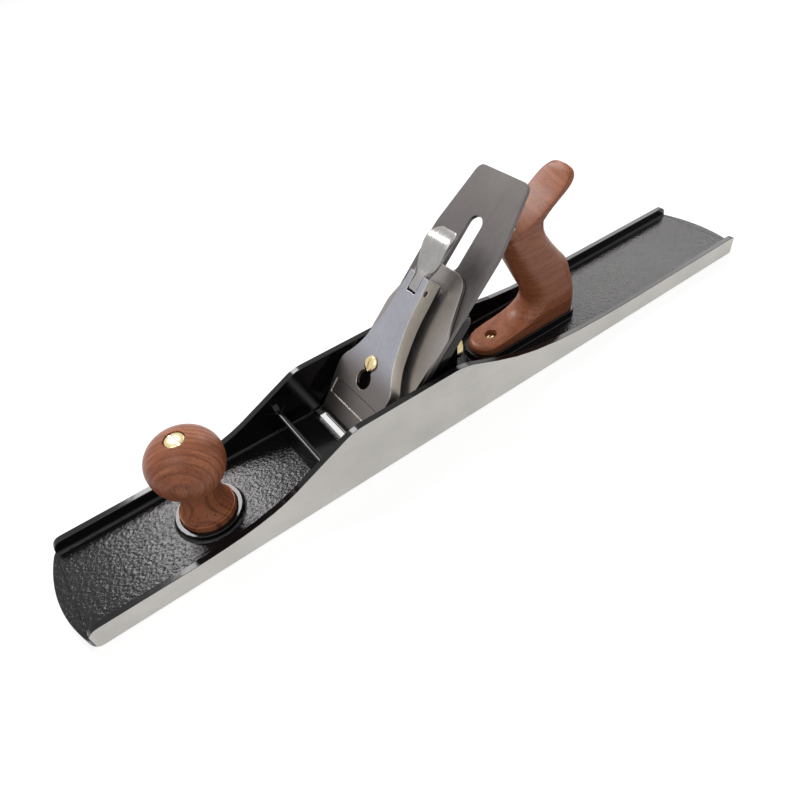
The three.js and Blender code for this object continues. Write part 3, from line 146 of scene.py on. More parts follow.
class KnobSizes(bpy.types.PropertyGroup):
    """Sizes of the turned front knob."""

    flange_diameter: length("Flange diameter", "Width of the knob's foot", 0.034)
    flange_height: length("Flange height", "Straight part of the foot", 0.005)
    bead: length("Bead", "Step on top of the foot", 0.0009)
    neck_diameter: length("Neck diameter", "Width of the waist", 0.025)
    ball_diameter: length("Ball diameter", "Width of the ball", 0.0448)
    ball_height: length("Ball height", "Middle of the ball above the foot", 0.045)
    crown_rise: length("Crown rise", "Top of the ball above its middle", 0.019)
    nut_diameter: length("Nut diameter", "Width of the brass nut", 0.0116)
    nut_length: length("Nut length", "Length of the brass nut", 0.014)
    rod_diameter: length("Rod diameter", "Width of the steel rod", 0.0064)
    gap: length("Gap", "Clearance around metal parts", 0.0003)
    sides: number("Sides", "Facets round the knob", 96, 12)


class ToteSizes(bpy.types.PropertyGroup):
    """Sizes of the rear handle."""

    foot_length: length("Foot length", "Length of the handle's foot", 0.093)
    height: length("Height", "Height of the handle", 0.1135)
    thickness: length("Thickness", "Greatest thickness of the handle", 0.026)
    screw_place: length("Screw place", "Toe screw from the foot's toe end", 0.017)
    screw_bore: length("Screw bore", "Width of the toe screw's counterbore", 0.0086)
    screw_seat: length("Screw seat", "Floor of the counterbore above the foot", 0.0024)
    rod_foot: length("Rod foot", "Rod from the toe end, at the foot", 0.076)
    rod_top: length("Rod top", "Rod from the toe end, at the top", 0.022)
    rod_rise: length("Rod rise", "Height between those two places", 0.102)
    nut_bore: length("Nut bore", "Width of the nut's bore", 0.0122)
    nut_depth: length("Nut depth", "Place of the bore's floor along the rod", 0.0817)
    layers: number("Layers", "Rings between two rows of the front table", 6, 1)


class FastenerSizes(bpy.types.PropertyGroup):
    """Sizes shared by the slotted screws and nuts."""

    slot_width: length("Slot width", "Width of a driver slot", 0.0014)
    slot_depth: length("Slot depth", "Depth of a driver slot", 0.0012)
    edge_round: length("Edge round", "Radius on a turned edge", 0.00012)
    cap_head: length("Cap screw head", "Width of the lever cap screw's head", 0.0104)
    cap_head_height: length("Cap screw head height", "Height of that head", 0.0022)
    cap_shank: length("Cap screw shank", "Width of that screw's shank", 0.0064)
    cap_screw_place: length("Cap screw place", "Place of that screw up the bed", 0.055)
    cap_screw_rise: length("Cap screw rise", "Underside of that head above the bed", 0.01779)
    cap_screw_depth: length("Cap screw depth", "End of that shank below the bed", 0.0149)
    toe_head: length("Toe screw head", "Width of the handle's toe screw head", 0.008)
    toe_head_height: length("Toe screw head height", "Height of that head", 0.0024)
    toe_shank: length("Toe screw shank", "Width of that screw's shank", 0.0046)
    nut_twist: turn("Knob nut twist", "Direction of the knob nut's slot", math.radians(-80))
    cap_twist: turn("Cap screw twist", "Direction of the lever cap screw's slot", math.radians(15))
    toe_twist: turn("Toe screw twist", "Direction of the toe screw's slot", math.radians(16))
    sides: number("Sides", "Facets round a head", 48, 12)


class CamSizes(bpy.types.PropertyGroup):
    """Sizes of the cam lever, from its pin."""

    pin_place: length("Pin place", "Place of the pin up the bed", 0.1098)
    pin_rise: length("Pin rise", "Pin above the bed", 0.0164)
    pin_bore: length("Pin bore", "Width of the pin's bore", 0.0036)
    root: length("Root", "Radius of the lever's root about the pin", 0.0034)
    lobe: length("Lobe", "Radius of the cam's lobe", 0.0050)
    lobe_drop: length("Lobe drop", "Middle of the lobe below the pin", 0.0068)
    reach: length("Reach", "Pin to the thumb tab's end", 0.0396)
    rise: length("Rise", "Greatest height of the tab above the pin", 0.0056)
    root_width: length("Root width", "Width between the cap's ears", 0.0074)
    tab_width: length("Tab width", "Greatest width of the thumb tab", 0.0204)
    layers: number("Layers", "Sections across the lever", 28, 8)
    top_steps: number("Top steps", "Steps along its top", 40, 12)
    under_steps: number("Underside steps", "Steps along its underside", 30, 12)
    root_steps: number("Root steps", "Steps round its root", 12, 4)
    lobe_sides: number("Lobe sides", "Facets round the cam's lobe", 64, 12)


class WheelSizes(bpy.types.PropertyGroup):
    """Sizes of the knurled depth wheel."""

    diameter: length("Diameter", "Width of the wheel", 0.032)
    rim_width: length("Rim width", "Width of the knurled rim", 0.009)
    hub_diameter: length("Hub diameter", "Width of the hub", 0.014)
    flange: length("Flange", "Thickness of the groove's flanges", 0.0022)
    groove_width: length("Groove width", "Width of the yoke's groove", 0.0048)
    groove_diameter: length("Groove diameter", "Width at the groove's floor", 0.0092)
    dish: length("Dish", "Depth of the rear face's recess", 0.0015)
    dish_diameter: length("Dish diameter", "Width of that recess", 0.024)
    bore: length("Bore", "Width of the threaded bore", 0.0062)
    tooth_depth: length("Tooth depth", "Depth of the knurling", 0.00035)
    teeth: number("Teeth", "Ridges round the rim", 100, 20)


class SteelSizes(bpy.types.PropertyGroup):
    """Edge rounds of the steel pieces, and which of their faces keep slight creases."""

    blade_edge: length("Blade edge", "Radius on the iron's and chipbreaker's edges", 0.00022)
    cap_edge: length("Cap edge", "Radius on the lever cap's edges", 0.0003)
    cap_merge: length("Cap merge", "Edges of the lever cap shorter than this are merged", 0.00026)
    small_edge: length("Small edge", "Radius on small steel pieces", 0.00015)
    wide_face: area("Wide face", "Area from which a face keeps its creases", 2e-5)
    cap_face: area("Cap face", "The same area on the lever cap", 1e-6)


class Finishes(bpy.types.PropertyGroup):
    """Colours of the finishes."""

    paint: colour("Paint", "Gloss black paint", (0.006, 0.005, 0.006))
    ground: colour("Ground iron", "Bare ground iron", (0.5, 0.485, 0.46))
    blade: colour("Blade steel", "Satin ground steel", (0.135, 0.124, 0.121))
    breaker: colour("Chipbreaker steel", "Finely ground steel", (0.3, 0.275, 0.265))
    cap: colour("Cap plating", "Satin plating of the lever cap", (0.36, 0.36, 0.4))
    cam: colour("Cam plating", "Satin plating of the cam lever", (0.36, 0.35, 0.34))
    # Painted shade: a darker copy of the cap's colour for its lower part, standing for the darker reflections
    # there
    cap_painted_shade: colour("Worn cap", "Lower part of the lever cap", (0.175, 0.157, 0.15))
    # Painted reflection: a lighter copy of the cap's colour for its side walls, standing for the bright floor
    # that they reflect
    cap_wall: colour("Cap walls", "Machined side walls of the lever cap", (0.62, 0.59, 0.52))
    dark_steel: colour("Dark steel", "Turned and pressed steel", (0.19, 0.185, 0.18))
    brass: colour("Brass", "Yellow brass", (0.7, 0.58, 0.33))
    wood_light: colour("Light wood", "Pale bands of the wood", (0.45, 0.165, 0.08))
    wood_dark: colour("Dark wood", "Dark bands of the wood", (0.22, 0.062, 0.026))
    wood_ring: colour("Wood rings", "Dark lines between the bands", (0.11, 0.03, 0.012))
    wood_pore: colour("Wood pores", "Fine dark pores", (0.08, 0.025, 0.012))


class StageSizes(bpy.types.PropertyGroup):
    """Camera, floor and lamps."""

    target: FloatVectorProperty(name="Target", description="Point that the camera looks at", unit="LENGTH",
                                default=(-0.04436, 0, 0.00785))
    azimuth: turn("Azimuth", "Camera's direction round the object", math.radians(-30.66))
    elevation: turn("Elevation", "Camera's height angle", math.radians(44.26))
    roll: turn("Roll", "Camera's tilt", math.radians(-7.87))
    distance: length("Distance", "Camera to target", 0.44319)
    lens: FloatProperty(name="Lens", description="Focal length in millimetres", default=29.135, min=1)
    floor_size: length("Floor size", "Width of the floor", 6)
    floor_drop: length("Floor drop", "Floor below the sole", 0.0002)
    floor_shade: share("Floor shade", "Share of the floor's brightness that takes shadows", 0.45)
    floor_glow: share("Floor glow", "Light that the floor adds where it is seen", 0.72)
    soft_light: share("Soft light", "Strength of the background's light on the object", 0.35)


def settings(name):
    """One group of the plane's sizes."""
    return getattr(bpy.context.scene, "plane_" + name)


# Mesh helpers

def add_object(name, mesh):
    """A new object in the scene, at the origin."""
    piece = bpy.data.objects.new(name, mesh)
    bpy.context.scene.collection.objects.link(piece)
    return piece


def mesh_from(name, points, faces=(), edges=()):
    """A mesh from points and faces or edges."""
    mesh = bpy.data.meshes.new(name)
    mesh.from_pydata([tuple(p) for p in points], list(edges), list(faces))
    return mesh


def tidied(mesh, merge=TURNED_MERGE):
    """Merges doubles and turns all faces outwards."""
    work = bmesh.new()
    work.from_mesh(mesh)
    bmesh.ops.remove_doubles(work, verts=work.verts, dist=merge)
    bmesh.ops.recalc_face_normals(work, faces=work.faces)
    work.to_mesh(mesh)
    work.free()
    return mesh


def applied(piece):
    """Turns the evaluated result into the piece's own plain mesh and removes its modifiers."""
    bpy.context.view_layer.update()
    graph = bpy.context.evaluated_depsgraph_get()
    mesh = bpy.data.meshes.new_from_object(piece.evaluated_get(graph))
    piece.modifiers.clear()
    piece.data = mesh
    return piece


def carve(piece, *tools):
    """Cuts tools out of the piece and removes them."""
    for tool in tools:
        cutter = piece.modifiers.new("Cut", "BOOLEAN")
        cutter.operation = "DIFFERENCE"
        cutter.solver = "EXACT"
        cutter.object = tool
    applied(piece)
    for tool in tools:
        bpy.data.objects.remove(tool)
    return piece


def arc(x, y, rx, ry, start, end, steps):
    """Points of an elliptical arc about (x, y)."""
    angles = [start + (end - start) * i / steps for i in range(steps + 1)]
    return [(x + rx * math.cos(a), y + ry * math.sin(a)) for a in angles]


def bed_frame(along, above):
    """A frame on the bed: X up the slope, Z away from it."""
    sizes = settings("casting")
    slope = Matrix.Translation((sizes.bed_place, 0, 0)) @ Matrix.Rotation(-sizes.bed_angle, 4, "Y")
    return slope @ Matrix.Translation((along, 0, above))


def quadratic(a, b, c, steps):
    """Points of a quadratic curve from a to c with the control point b."""
    shares = [i / steps for i in range(steps + 1)]
    weights = [((1 - t) ** 2, 2 * t * (1 - t), t * t) for t in shares]
    return [tuple(wa * a[k] + wb * b[k] + wc * c[k] for k in (0, 1)) for wa, wb, wc in weights]


def smooth_value(rows, key):
    """A smooth value between rows of (key, value)."""
    after = next((i for i, row in enumerate(rows) if row[0] >= key), len(rows) - 1)
    after = max(after, 1)
    a, b = rows[after - 1], rows[after]
    before, beyond = rows[max(after - 2, 0)], rows[min(after + 1, len(rows) - 1)]
    t = (key - a[0]) / (b[0] - a[0])
    first = (b[1] - before[1]) / (b[0] - before[0]) * (b[0] - a[0])
    last = (beyond[1] - a[1]) / (beyond[0] - a[0]) * (b[0] - a[0])
    rise = b[1] - a[1]
    return a[1] + t * (first + t * (3 * rise - 2 * first - last + t * (first + last - 2 * rise)))


# Geometry node trees

class Tree:
    """Short ways to add and join nodes in one node tree."""

    def __init__(self, tree):
        self.tree = tree

    def node(self, kind, inputs=None, **values):
        """Adds a node, sets its values, and sets or links its inputs."""
        made = self.tree.nodes.new(kind)
        for key, value in values.items():
            setattr(made, key, value)
        for key, value in (inputs or {}).items():
            if isinstance(value, bpy.types.NodeSocket):
                self.tree.links.new(value, made.inputs[key])
            else:
                made.inputs[key].default_value = value
        return made

    def math(self, operation, a, b=0):
        """A math node's result."""
        return self.node("ShaderNodeMath", {0: a, 1: b}, operation=operation).outputs[0]


def turned_tree():
    """Turns the profile that a piece's mesh draws in its XZ plane about Z, with teeth beyond a radius."""
    group = bpy.data.node_groups.new(TURNED_TREE, "GeometryNodeTree")
    sockets = [("Geometry", "NodeSocketGeometry"), ("Sides", "NodeSocketInt"),
               ("Tooth depth", "NodeSocketFloat"), ("Tooth radius", "NodeSocketFloat"),
               ("Material", "NodeSocketMaterial")]
    for name, kind in sockets:
        group.interface.new_socket(name, in_out="INPUT", socket_type=kind)
    group.interface.new_socket("Geometry", in_out="OUTPUT", socket_type="NodeSocketGeometry")
    tree = Tree(group)
    given = tree.node("NodeGroupInput").outputs
    profile = given["Geometry"]
    count = tree.node("GeometryNodeAttributeDomainSize", {"Geometry": profile}).outputs["Point Count"]
    columns = tree.math("ADD", given["Sides"], 1)
    grid = tree.node("GeometryNodeMeshGrid", {"Vertices X": columns, "Vertices Y": count})
    index = tree.node("GeometryNodeInputIndex").outputs[0]
    # Half a point keeps each quotient clear of the next whole number
    column = tree.math("FLOOR", tree.math("DIVIDE", tree.math("ADD", index, 0.5), count))
    row = tree.math("SUBTRACT", index, tree.math("MULTIPLY", column, count))
    position = tree.node("GeometryNodeInputPosition").outputs[0]
    sample = tree.node("GeometryNodeSampleIndex", {"Geometry": profile, "Value": position, "Index": row},
                       data_type="FLOAT_VECTOR")
    point = tree.node("ShaderNodeSeparateXYZ", {0: sample.outputs[0]}).outputs
    beyond = tree.math("GREATER_THAN", point["X"], given["Tooth radius"])
    notch = tree.math("MULTIPLY", tree.math("MODULO", column, 2), given["Tooth depth"])
    radius = tree.math("SUBTRACT", point["X"], tree.math("MULTIPLY", notch, beyond))
    angle = tree.math("MULTIPLY", tree.math("DIVIDE", column, given["Sides"]), math.tau)
    around = tree.node("ShaderNodeCombineXYZ", {
        "X": tree.math("MULTIPLY", radius, tree.math("COSINE", angle)),
        "Y": tree.math("MULTIPLY", radius, tree.math("SINE", angle)),
        "Z": point["Z"],
    }).outputs[0]
    moved = tree.node("GeometryNodeSetPosition", {"Geometry": grid.outputs["Mesh"], "Position": around})
    real = tree.node("GeometryNodeRealizeInstances", {"Geometry": moved.outputs[0]})
    dressed = tree.node("GeometryNodeSetMaterial",
                        {"Geometry": real.outputs[0], "Material": given["Material"]})
    tree.node("NodeGroupOutput", {"Geometry": dressed.outputs[0]})
    return group


def run_tree(piece, group, **values):
    """Runs a node tree on the piece with its inputs set by name, and keeps the result as a plain mesh."""
    modifier = piece.modifiers.new(group.name, "NODES")
    modifier.node_group = group
    for item in group.interface.items_tree:
        if item.item_type == "SOCKET" and item.in_out == "INPUT" and item.name in values:
            modifier[item.identifier] = values[item.name]
    return applied(piece)


def turned(name, profile, finish, sides, place_at=Matrix(), tooth_depth=0.0, tooth_radius=1.0):
    """A turned piece from a profile of (radius, height) points, moved to its place."""
    points = [(radius, 0, height) for radius, height in profile]
    edges = [(i, i + 1) for i in range(len(points) - 1)]
    piece = add_object(name, mesh_from(name, points, edges=edges))
    run_tree(piece, bpy.data.node_groups.get(TURNED_TREE) or turned_tree(),
             **{"Sides": sides, "Tooth depth": tooth_depth, "Tooth radius": tooth_radius, "Material": finish})
    piece.data.transform(place_at)
    tidied(piece.data)
    return piece


def box_tool(low, high, place_at=Matrix()):
    """A plain box to cut with."""
    tool = add_object("tool", bpy.data.meshes.new("tool"))
    work = bmesh.new()
    bmesh.ops.create_cube(work, size=1)
    size = Vector(high) - Vector(low)
    middle = (Vector(high) + Vector(low)) / 2
    stretch = place_at @ Matrix.Translation(middle) @ Matrix.Diagonal((*size, 1))
    bmesh.ops.transform(work, verts=work.verts, matrix=stretch)
    work.to_mesh(tool.data)
    work.free()
    return tool


def rod_tool(radius, low, high, place_at=Matrix(), sides=48):
    """A plain rod to cut with."""
    return turned("tool", [(0, low), (radius, low), (radius, high), (0, high)], None, sides, place_at)


# Finishing

STRAY_SHARE = 0.75  # of an edge's round, past which its points go back to the CAD's surface


def mark_edges(mesh, angle, wide):
    """Marks real edges sharp, and slight creases too where they part two wide faces."""
    work = bmesh.new()
    work.from_mesh(mesh)
    for edge in work.edges:
        parting = len(edge.link_faces) == 2
        flat = all(face.calc_area() > wide and abs(face.normal.y) < LEVEL_SHARE for face in edge.link_faces)
        limit = CREASE_ANGLE if parting and flat else angle
        edge.smooth = parting and edge.calc_face_angle() < limit
    work.to_mesh(mesh)
    work.free()


def smooth_edges(piece, edge, angle=EDGE_ANGLE, segments=2, wide=None):
    """Smooth shading with a small round on each real edge."""
    piece.data.shade_smooth()
    mark_edges(piece.data, angle, wide or settings("steel").wide_face)
    if edge > 0:
        rounding = piece.modifiers.new("Edge round", "BEVEL")
        rounding.width = edge
        rounding.segments = segments
        rounding.limit_method = "ANGLE"
        rounding.angle_limit = angle
        rounding.use_clamp_overlap = False
        rounding.miter_outer = "MITER_ARC"


def even_normals(piece):
    """Normals follow the wide faces, so flats stay flat beside their rounds."""
    normals = piece.modifiers.new("Face normals", "WEIGHTED_NORMAL")
    normals.keep_sharp = True
    normals.weight = 100


def settle(piece, node):
    """The piece stands for its CAD node and rides on that node's body."""
    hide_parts(node)
    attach(piece, frame["nodes"][node]["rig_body"])


def dress(piece, *materials):
    """Gives the piece its materials."""
    piece.data.materials.clear()
    for finish in materials:
        piece.data.materials.append(finish)


def finished_copy(node, name, slot, edge, *materials, wide=None, merge=COPIED_MERGE):
    """A copy of a CAD node with merged flats, rounded edges that stay by its surface, and its finish."""
    surface = frame["nodes"][node].data
    piece = add_object(name, surface.copy())
    work = bmesh.new()
    work.from_mesh(piece.data)
    bmesh.ops.remove_doubles(work, verts=work.verts, dist=merge)
    bmesh.ops.dissolve_limit(work, angle_limit=FLAT_ANGLE, verts=work.verts, edges=work.edges)
    work.to_mesh(piece.data)
    work.free()
    dress(piece, *materials)
    smooth_edges(piece, edge, wide=wide)
    applied(piece)
    corners = [vertex.co for vertex in surface.vertices]
    tree = BVHTree.FromPolygons(corners, [tuple(face.vertices) for face in surface.polygons])
    for vertex in piece.data.vertices:
        near, _, _, distance = tree.find_nearest(vertex.co)
        if distance > edge * STRAY_SHARE:
            vertex.co = near
    even_normals(piece)
    applied(piece)
    settle(piece, node)
    return piece


# Materials

MIX_A, MIX_B, MIX_RESULT = 6, 7, 2  # the colour sockets of a mix node
PAINT_TONES = (0.75, 1.35)
METAL_TONES = (0.86, 1.12)
METAL_ROUGHNESS_SHARES = (0.82, 1.2)
FIBRE_TONE = 1.35
FINE_SCALES = (3, 2.7)  # of the finer grinding lines, along and across, against the wide ones
PAINTED_SHADE_SHARES = (0.76, 1.2)  # of the cap screw's place up the bed, between which the painted shade fades out
CRINKLE_FADE_SHARE = 1.04  # of the crinkled floor's height, where the crinkle has faded out
FLOOR_ROUGHNESS = 0.05  # added where the paint is crinkled
RING_WANDER = 9


class Finish(Tree):
    """One material's nodes, with Object coordinates at hand."""

    def __init__(self, name, **surface):
        self.material = bpy.data.materials.new(name)
        self.material.use_nodes = True
        super().__init__(self.material.node_tree)
        self.surface = self.tree.nodes["Principled BSDF"]
        self.coordinates = self.node("ShaderNodeTexCoord").outputs["Object"]
        for key, value in surface.items():
            socket = "IOR" if key == "ior" else key.replace("_", " ").title()
            self.surface.inputs[socket].default_value = value

    def stretched(self, scale, rotation=(0, 0, 0)):
        """Object coordinates turned, then scaled along each axis."""
        facing = self.node("ShaderNodeMapping", {"Vector": self.coordinates, "Rotation": rotation})
        return self.node("ShaderNodeMapping", {"Vector": facing.outputs[0], "Scale": scale}).outputs[0]

    def noise(self, vector, scale=1.0, detail=2.0, roughness=0.5, distortion=0.0):
        """Noise from 0 to 1."""
        inputs = {"Vector": vector, "Scale": scale, "Detail": detail, "Roughness": roughness,
                  "Distortion": distortion}
        return self.node("ShaderNodeTexNoise", inputs).outputs["Fac"]

    def spread(self, value, low, high, to_low=0.0, to_high=1.0):
        """Maps a value's range smoothly to another."""
        inputs = {"Value": value, "From Min": low, "From Max": high, "To Min": to_low, "To Max": to_high}
        return self.node("ShaderNodeMapRange", inputs, interpolation_type="SMOOTHSTEP").outputs[0]

    def weighed(self, *terms):
        """The sum of values, each times its weight."""
        parts = [self.math("MULTIPLY", value, weight) for value, weight in terms]
        total = parts[0]
        for part in parts[1:]:
            total = self.math("ADD", total, part)
        return total

    def mix(self, share_of_b, a, b):
        """A colour between two."""
        opaque = [(*c, 1) if isinstance(c, tuple) else c for c in (a, b)]
        inputs = {"Factor": share_of_b, MIX_A: opaque[0], MIX_B: opaque[1]}
        return self.node("ShaderNodeMix", inputs, data_type="RGBA").outputs[MIX_RESULT]

    def bump(self, height, strength, distance, normal=None):
        """A bumped normal."""
        inputs = {"Height": height, "Strength": strength, "Distance": distance}
        if normal is not None:
            inputs["Normal"] = normal
        return self.node("ShaderNodeBump", inputs).outputs[0]

    def link(self, value, name):
        """Joins a value to the surface shader."""
        self.tree.links.new(value, self.surface.inputs[name])


def rgb(name, tone=1):
    """One colour of the finishes, darker or lighter by its tone."""
    return tuple(c * tone for c in getattr(settings("finishes"), name))


def material(name, build):
    """The finish of that name, built the first time that it is asked for."""
    name += "_finish"
    return bpy.data.materials.get(name) or build(name)


def black_paint(name):
    """Gloss black paint, crinkled on the casting's floor and smooth elsewhere."""
    finish = Finish(name, ior=1.36)
    crinkle_top = settings("casting").crinkle_top
    height = finish.node("ShaderNodeSeparateXYZ", {0: finish.coordinates}).outputs["Z"]
    floor = finish.math("SUBTRACT", 1, finish.spread(height, crinkle_top, crinkle_top * CRINKLE_FADE_SHARE))
    grain = finish.noise(finish.stretched((560, 900, 700)), detail=2.5, roughness=0.6)
    inputs = {"Vector": finish.stretched((430, 640, 560)), "Scale": 1.0, "Randomness": 1.0}
    cells = finish.node("ShaderNodeTexVoronoi", inputs, feature="SMOOTH_F1").outputs["Distance"]
    relief = finish.weighed((grain, 0.8), (cells, 0.7))
    crinkle = finish.bump(finish.math("MULTIPLY", relief, floor), strength=0.6, distance=0.0004)
    flow = finish.noise(finish.stretched((90, 90, 90)), detail=2.0)
    finish.link(finish.bump(flow, strength=0.12, distance=0.0008, normal=crinkle), "Normal")
    dark, light = (rgb("paint", tone) for tone in PAINT_TONES)
    finish.link(finish.mix(finish.spread(grain, 0.35, 0.7), dark, light), "Base Color")
    patches = finish.noise(finish.stretched((35, 35, 35)), detail=3.0)
    wear = finish.spread(patches, 0.3, 0.7, to_low=0.1, to_high=0.15)
    finish.link(finish.weighed((wear, 1), (floor, FLOOR_ROUGHNESS)), "Roughness")
    return finish.material


def ground_metal(name, colour_name, roughness, along, across, depth, up_the_bed=False):
    """Metal with fine grinding lines along one direction and slow cloudy changes."""
    rotation = (0, settings("casting").bed_angle if up_the_bed else 0, 0)
    finish = Finish(name, metallic=1.0)
    lines = finish.noise(finish.stretched((along, across, across), rotation), detail=3.0, roughness=0.65)
    fine_along, fine_across = along * FINE_SCALES[0], across * FINE_SCALES[1]
    fine = finish.noise(finish.stretched((fine_along, fine_across, fine_across), rotation), detail=1.0)
    cloud = finish.noise(finish.stretched((28, 28, 28)), detail=3.0, roughness=0.55)
    both = finish.weighed((lines, 0.65), (fine, 0.35))
    toned = finish.weighed((both, 0.6), (cloud, 0.4))
    dark, light = (rgb(colour_name, tone) for tone in METAL_TONES)
    finish.link(finish.mix(finish.spread(toned, 0.3, 0.7), dark, light), "Base Color")
    smooth, rough = (roughness * part for part in METAL_ROUGHNESS_SHARES)
    finish.link(finish.spread(both, 0.25, 0.75, to_low=smooth, to_high=rough), "Roughness")
    finish.link(finish.bump(both, strength=0.5, distance=depth), "Normal")
    return finish.material


def ground_iron(name):
    """Bare ground iron of the sole and the cheeks' outsides."""
    return ground_metal(name, "ground", roughness=0.42, along=45, across=2600, depth=0.00002)


def blade_steel(name):
    """Satin steel of the iron, ground up the bed."""
    return ground_metal(name, "blade", roughness=0.4, along=60, across=2400, depth=0.00002, up_the_bed=True)


def breaker_steel(name):
    """Finer steel of the chipbreaker, ground up the bed."""
    return ground_metal(name, "breaker", roughness=0.36, along=90, across=2400, depth=0.00001,
                        up_the_bed=True)


def cap_wall(name):
    """Side walls of the lever cap: a lighter copy of its finish, as painted reflection of the bright floor
    beyond the cheek.
    """
    return ground_metal(name, "cap_wall", roughness=0.36, along=120, across=1500, depth=0.00001,
                        up_the_bed=True)


def cam_plating(name):
    """Soft satin plating of the cam lever."""
    return ground_metal(name, "cam", roughness=0.26, along=60, across=200, depth=0.000002, up_the_bed=True)


def cap_plating(name):
    """Soft satin plating of the lever cap, with painted shade: darker towards its lower end, where the curved
    cap reflects darker surroundings.
    """
    sizes = settings("casting")
    finished = ground_metal(name, "cap", roughness=0.33, along=300, across=900, depth=0.00001,
                            up_the_bed=True)
    finish = Tree(finished.node_tree)
    surface = finished.node_tree.nodes["Principled BSDF"]
    bright = surface.inputs["Base Color"].links[0].from_socket
    # Painted shade: below the cap screw the colour fades to the darker cap_painted_shade colour
    place_at = finish.node("ShaderNodeTexCoord").outputs["Object"]
    slope = (math.cos(sizes.bed_angle), 0, math.sin(sizes.bed_angle))
    along = finish.node("ShaderNodeVectorMath", {0: place_at, 1: slope}, operation="DOT_PRODUCT")
    start = sizes.bed_place * math.cos(sizes.bed_angle)
    low, high = (start + settings("fastener").cap_screw_place * part for part in PAINTED_SHADE_SHARES)
    limits = {"Value": along.outputs["Value"], "From Min": low, "From Max": high}
    unshaded_share = finish.node("ShaderNodeMapRange", limits, interpolation_type="SMOOTHSTEP").outputs[0]
    inputs = {"Factor": unshaded_share, MIX_A: (*rgb("cap_painted_shade"), 1), MIX_B: bright}
    toned = finish.node("ShaderNodeMix", inputs, data_type="RGBA").outputs[MIX_RESULT]
    finished.node_tree.links.new(toned, surface.inputs["Base Color"])
    return finished


def dark_steel(name):
    """Turned or pressed dark steel."""
    return ground_metal(name, "dark_steel", roughness=0.38, along=500, across=2500, depth=0.00001)


def brass(name):
    """Turned yellow brass."""
    return ground_metal(name, "brass", roughness=0.22, along=900, across=2600, depth=0.000006)


def wood(name, rotation, ring_width, ring_share, contrast):
    """Reddish brown hardwood: growth bands across local X, fibres and pores along local Z."""
    finish = Finish(name, roughness=0.45, ior=1.3, coat_weight=0.16, coat_roughness=0.2)
    light, dark, pore = (rgb(key) for key in ("wood_light", "wood_dark", "wood_pore"))
    sway = finish.noise(finish.stretched((24, 24, 9), rotation), detail=2.0)
    bands = finish.noise(finish.stretched((330, 46, 13), rotation), detail=3.0, roughness=0.55,
                         distortion=0.25)
    broad = finish.noise(finish.stretched((120, 30, 8), rotation), detail=2.0, roughness=0.5)
    fibres = finish.noise(finish.stretched((2300, 1500, 70), rotation), detail=2.0, roughness=0.6)
    pores = finish.noise(finish.stretched((1700, 1300, 130), rotation), detail=1.0)
    tone = finish.weighed((bands, 0.55), (broad, 0.3), (sway, 0.15))
    base = finish.mix(finish.spread(tone, 0.5 - contrast, 0.5 + contrast), dark, light)
    across = finish.node("ShaderNodeSeparateXYZ", {0: finish.stretched((1, 1, 1), rotation)}).outputs["X"]
    wander = finish.noise(finish.stretched((55, 40, 14), rotation), detail=2.5)
    phase = finish.weighed((across, math.tau / ring_width), (wander, RING_WANDER))
    ring = finish.spread(finish.math("SINE", phase), 0.2, 1.0, to_high=ring_share)
    base = finish.mix(ring, base, rgb("wood_ring"))
    brushed = finish.mix(finish.spread(fibres, 0.3, 0.75, to_high=0.35), base, rgb("wood_light", FIBRE_TONE))
    dotted = finish.mix(finish.spread(pores, 0.6, 0.74, to_high=0.75), brushed, pore)
    finish.link(dotted, "Base Color")
    finish.link(finish.spread(fibres, 0.2, 0.8, to_low=0.36, to_high=0.52), "Roughness")
    grain = finish.math("SUBTRACT", finish.math("MULTIPLY", fibres, 0.4), finish.spread(pores, 0.6, 0.76))
    finish.link(finish.bump(grain, strength=0.35, distance=0.00008), "Normal")
    return finish.material


def knob_wood(name):
    """The knob's wood, with upright fibres."""
    return wood(name, (0, 0, math.radians(118)), ring_width=0.0036, ring_share=0.6, contrast=0.13)


def tote_wood(name):
    """The handle's wood, with fibres along the sole."""
    turned_to = (0, math.radians(90), math.radians(8))
    return wood(name, turned_to, ring_width=0.0026, ring_share=0.25, contrast=0.2)


# Pieces

class PLANE_OT_casting(bpy.types.Operator):
    """Finishes the sole casting: gloss paint, and ground iron on sole, sides and the mouth's edge."""

    bl_idname = "plane.casting"
    bl_label = "Sole casting"

    def execute(self, context):
        sizes = settings("casting")
        piece = finished_copy("plane_body", "sole_casting", "casting", sizes.edge_round,
                              material("black_paint", black_paint), material("ground_iron", ground_iron))
        low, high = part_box("plane_body")
        skin = 1e-5
        lip = Vector((sizes.mouth_place, 0, sizes.mouth_rise))
        for face in piece.data.polygons:
            middle, normal = face.center, face.normal
            outwards = normal.y * middle.y > abs(middle.y) * SIDE_SHARE
            side = outwards and high.y - abs(middle.y) < sizes.corner_depth
            sole = middle.z - low.z < skin
            to_lip = (Vector((middle.x, 0, middle.z)) - lip).length
            edge = to_lip < sizes.edge_round and abs(normal.y) < LEVEL_SHARE
            face.material_index = int(side or sole or edge)
        return {"FINISHED"}


class PLANE_OT_frog(bpy.types.Operator):
    """Finishes the frog."""

    bl_idname = "plane.frog"
    bl_label = "Frog"

    def execute(self, context):
        finished_copy("frog", "frog_finished", "frog_casting", settings("casting").edge_round,
                      material("frog_paint", black_paint))
        return {"FINISHED"}


class PLANE_OT_blades(bpy.types.Operator):
    """Finishes the cutting iron and the chipbreaker."""

    bl_idname = "plane.blades"
    bl_label = "Iron and chipbreaker"

    def execute(self, context):
        edge = settings("steel").blade_edge
        for node, finish in (("iron", material("blade_steel", blade_steel)),
                             ("chipbreaker", material("breaker_steel", breaker_steel))):
            finished_copy(node, node + "_finished", "blade_steel", edge, finish)
        return {"FINISHED"}


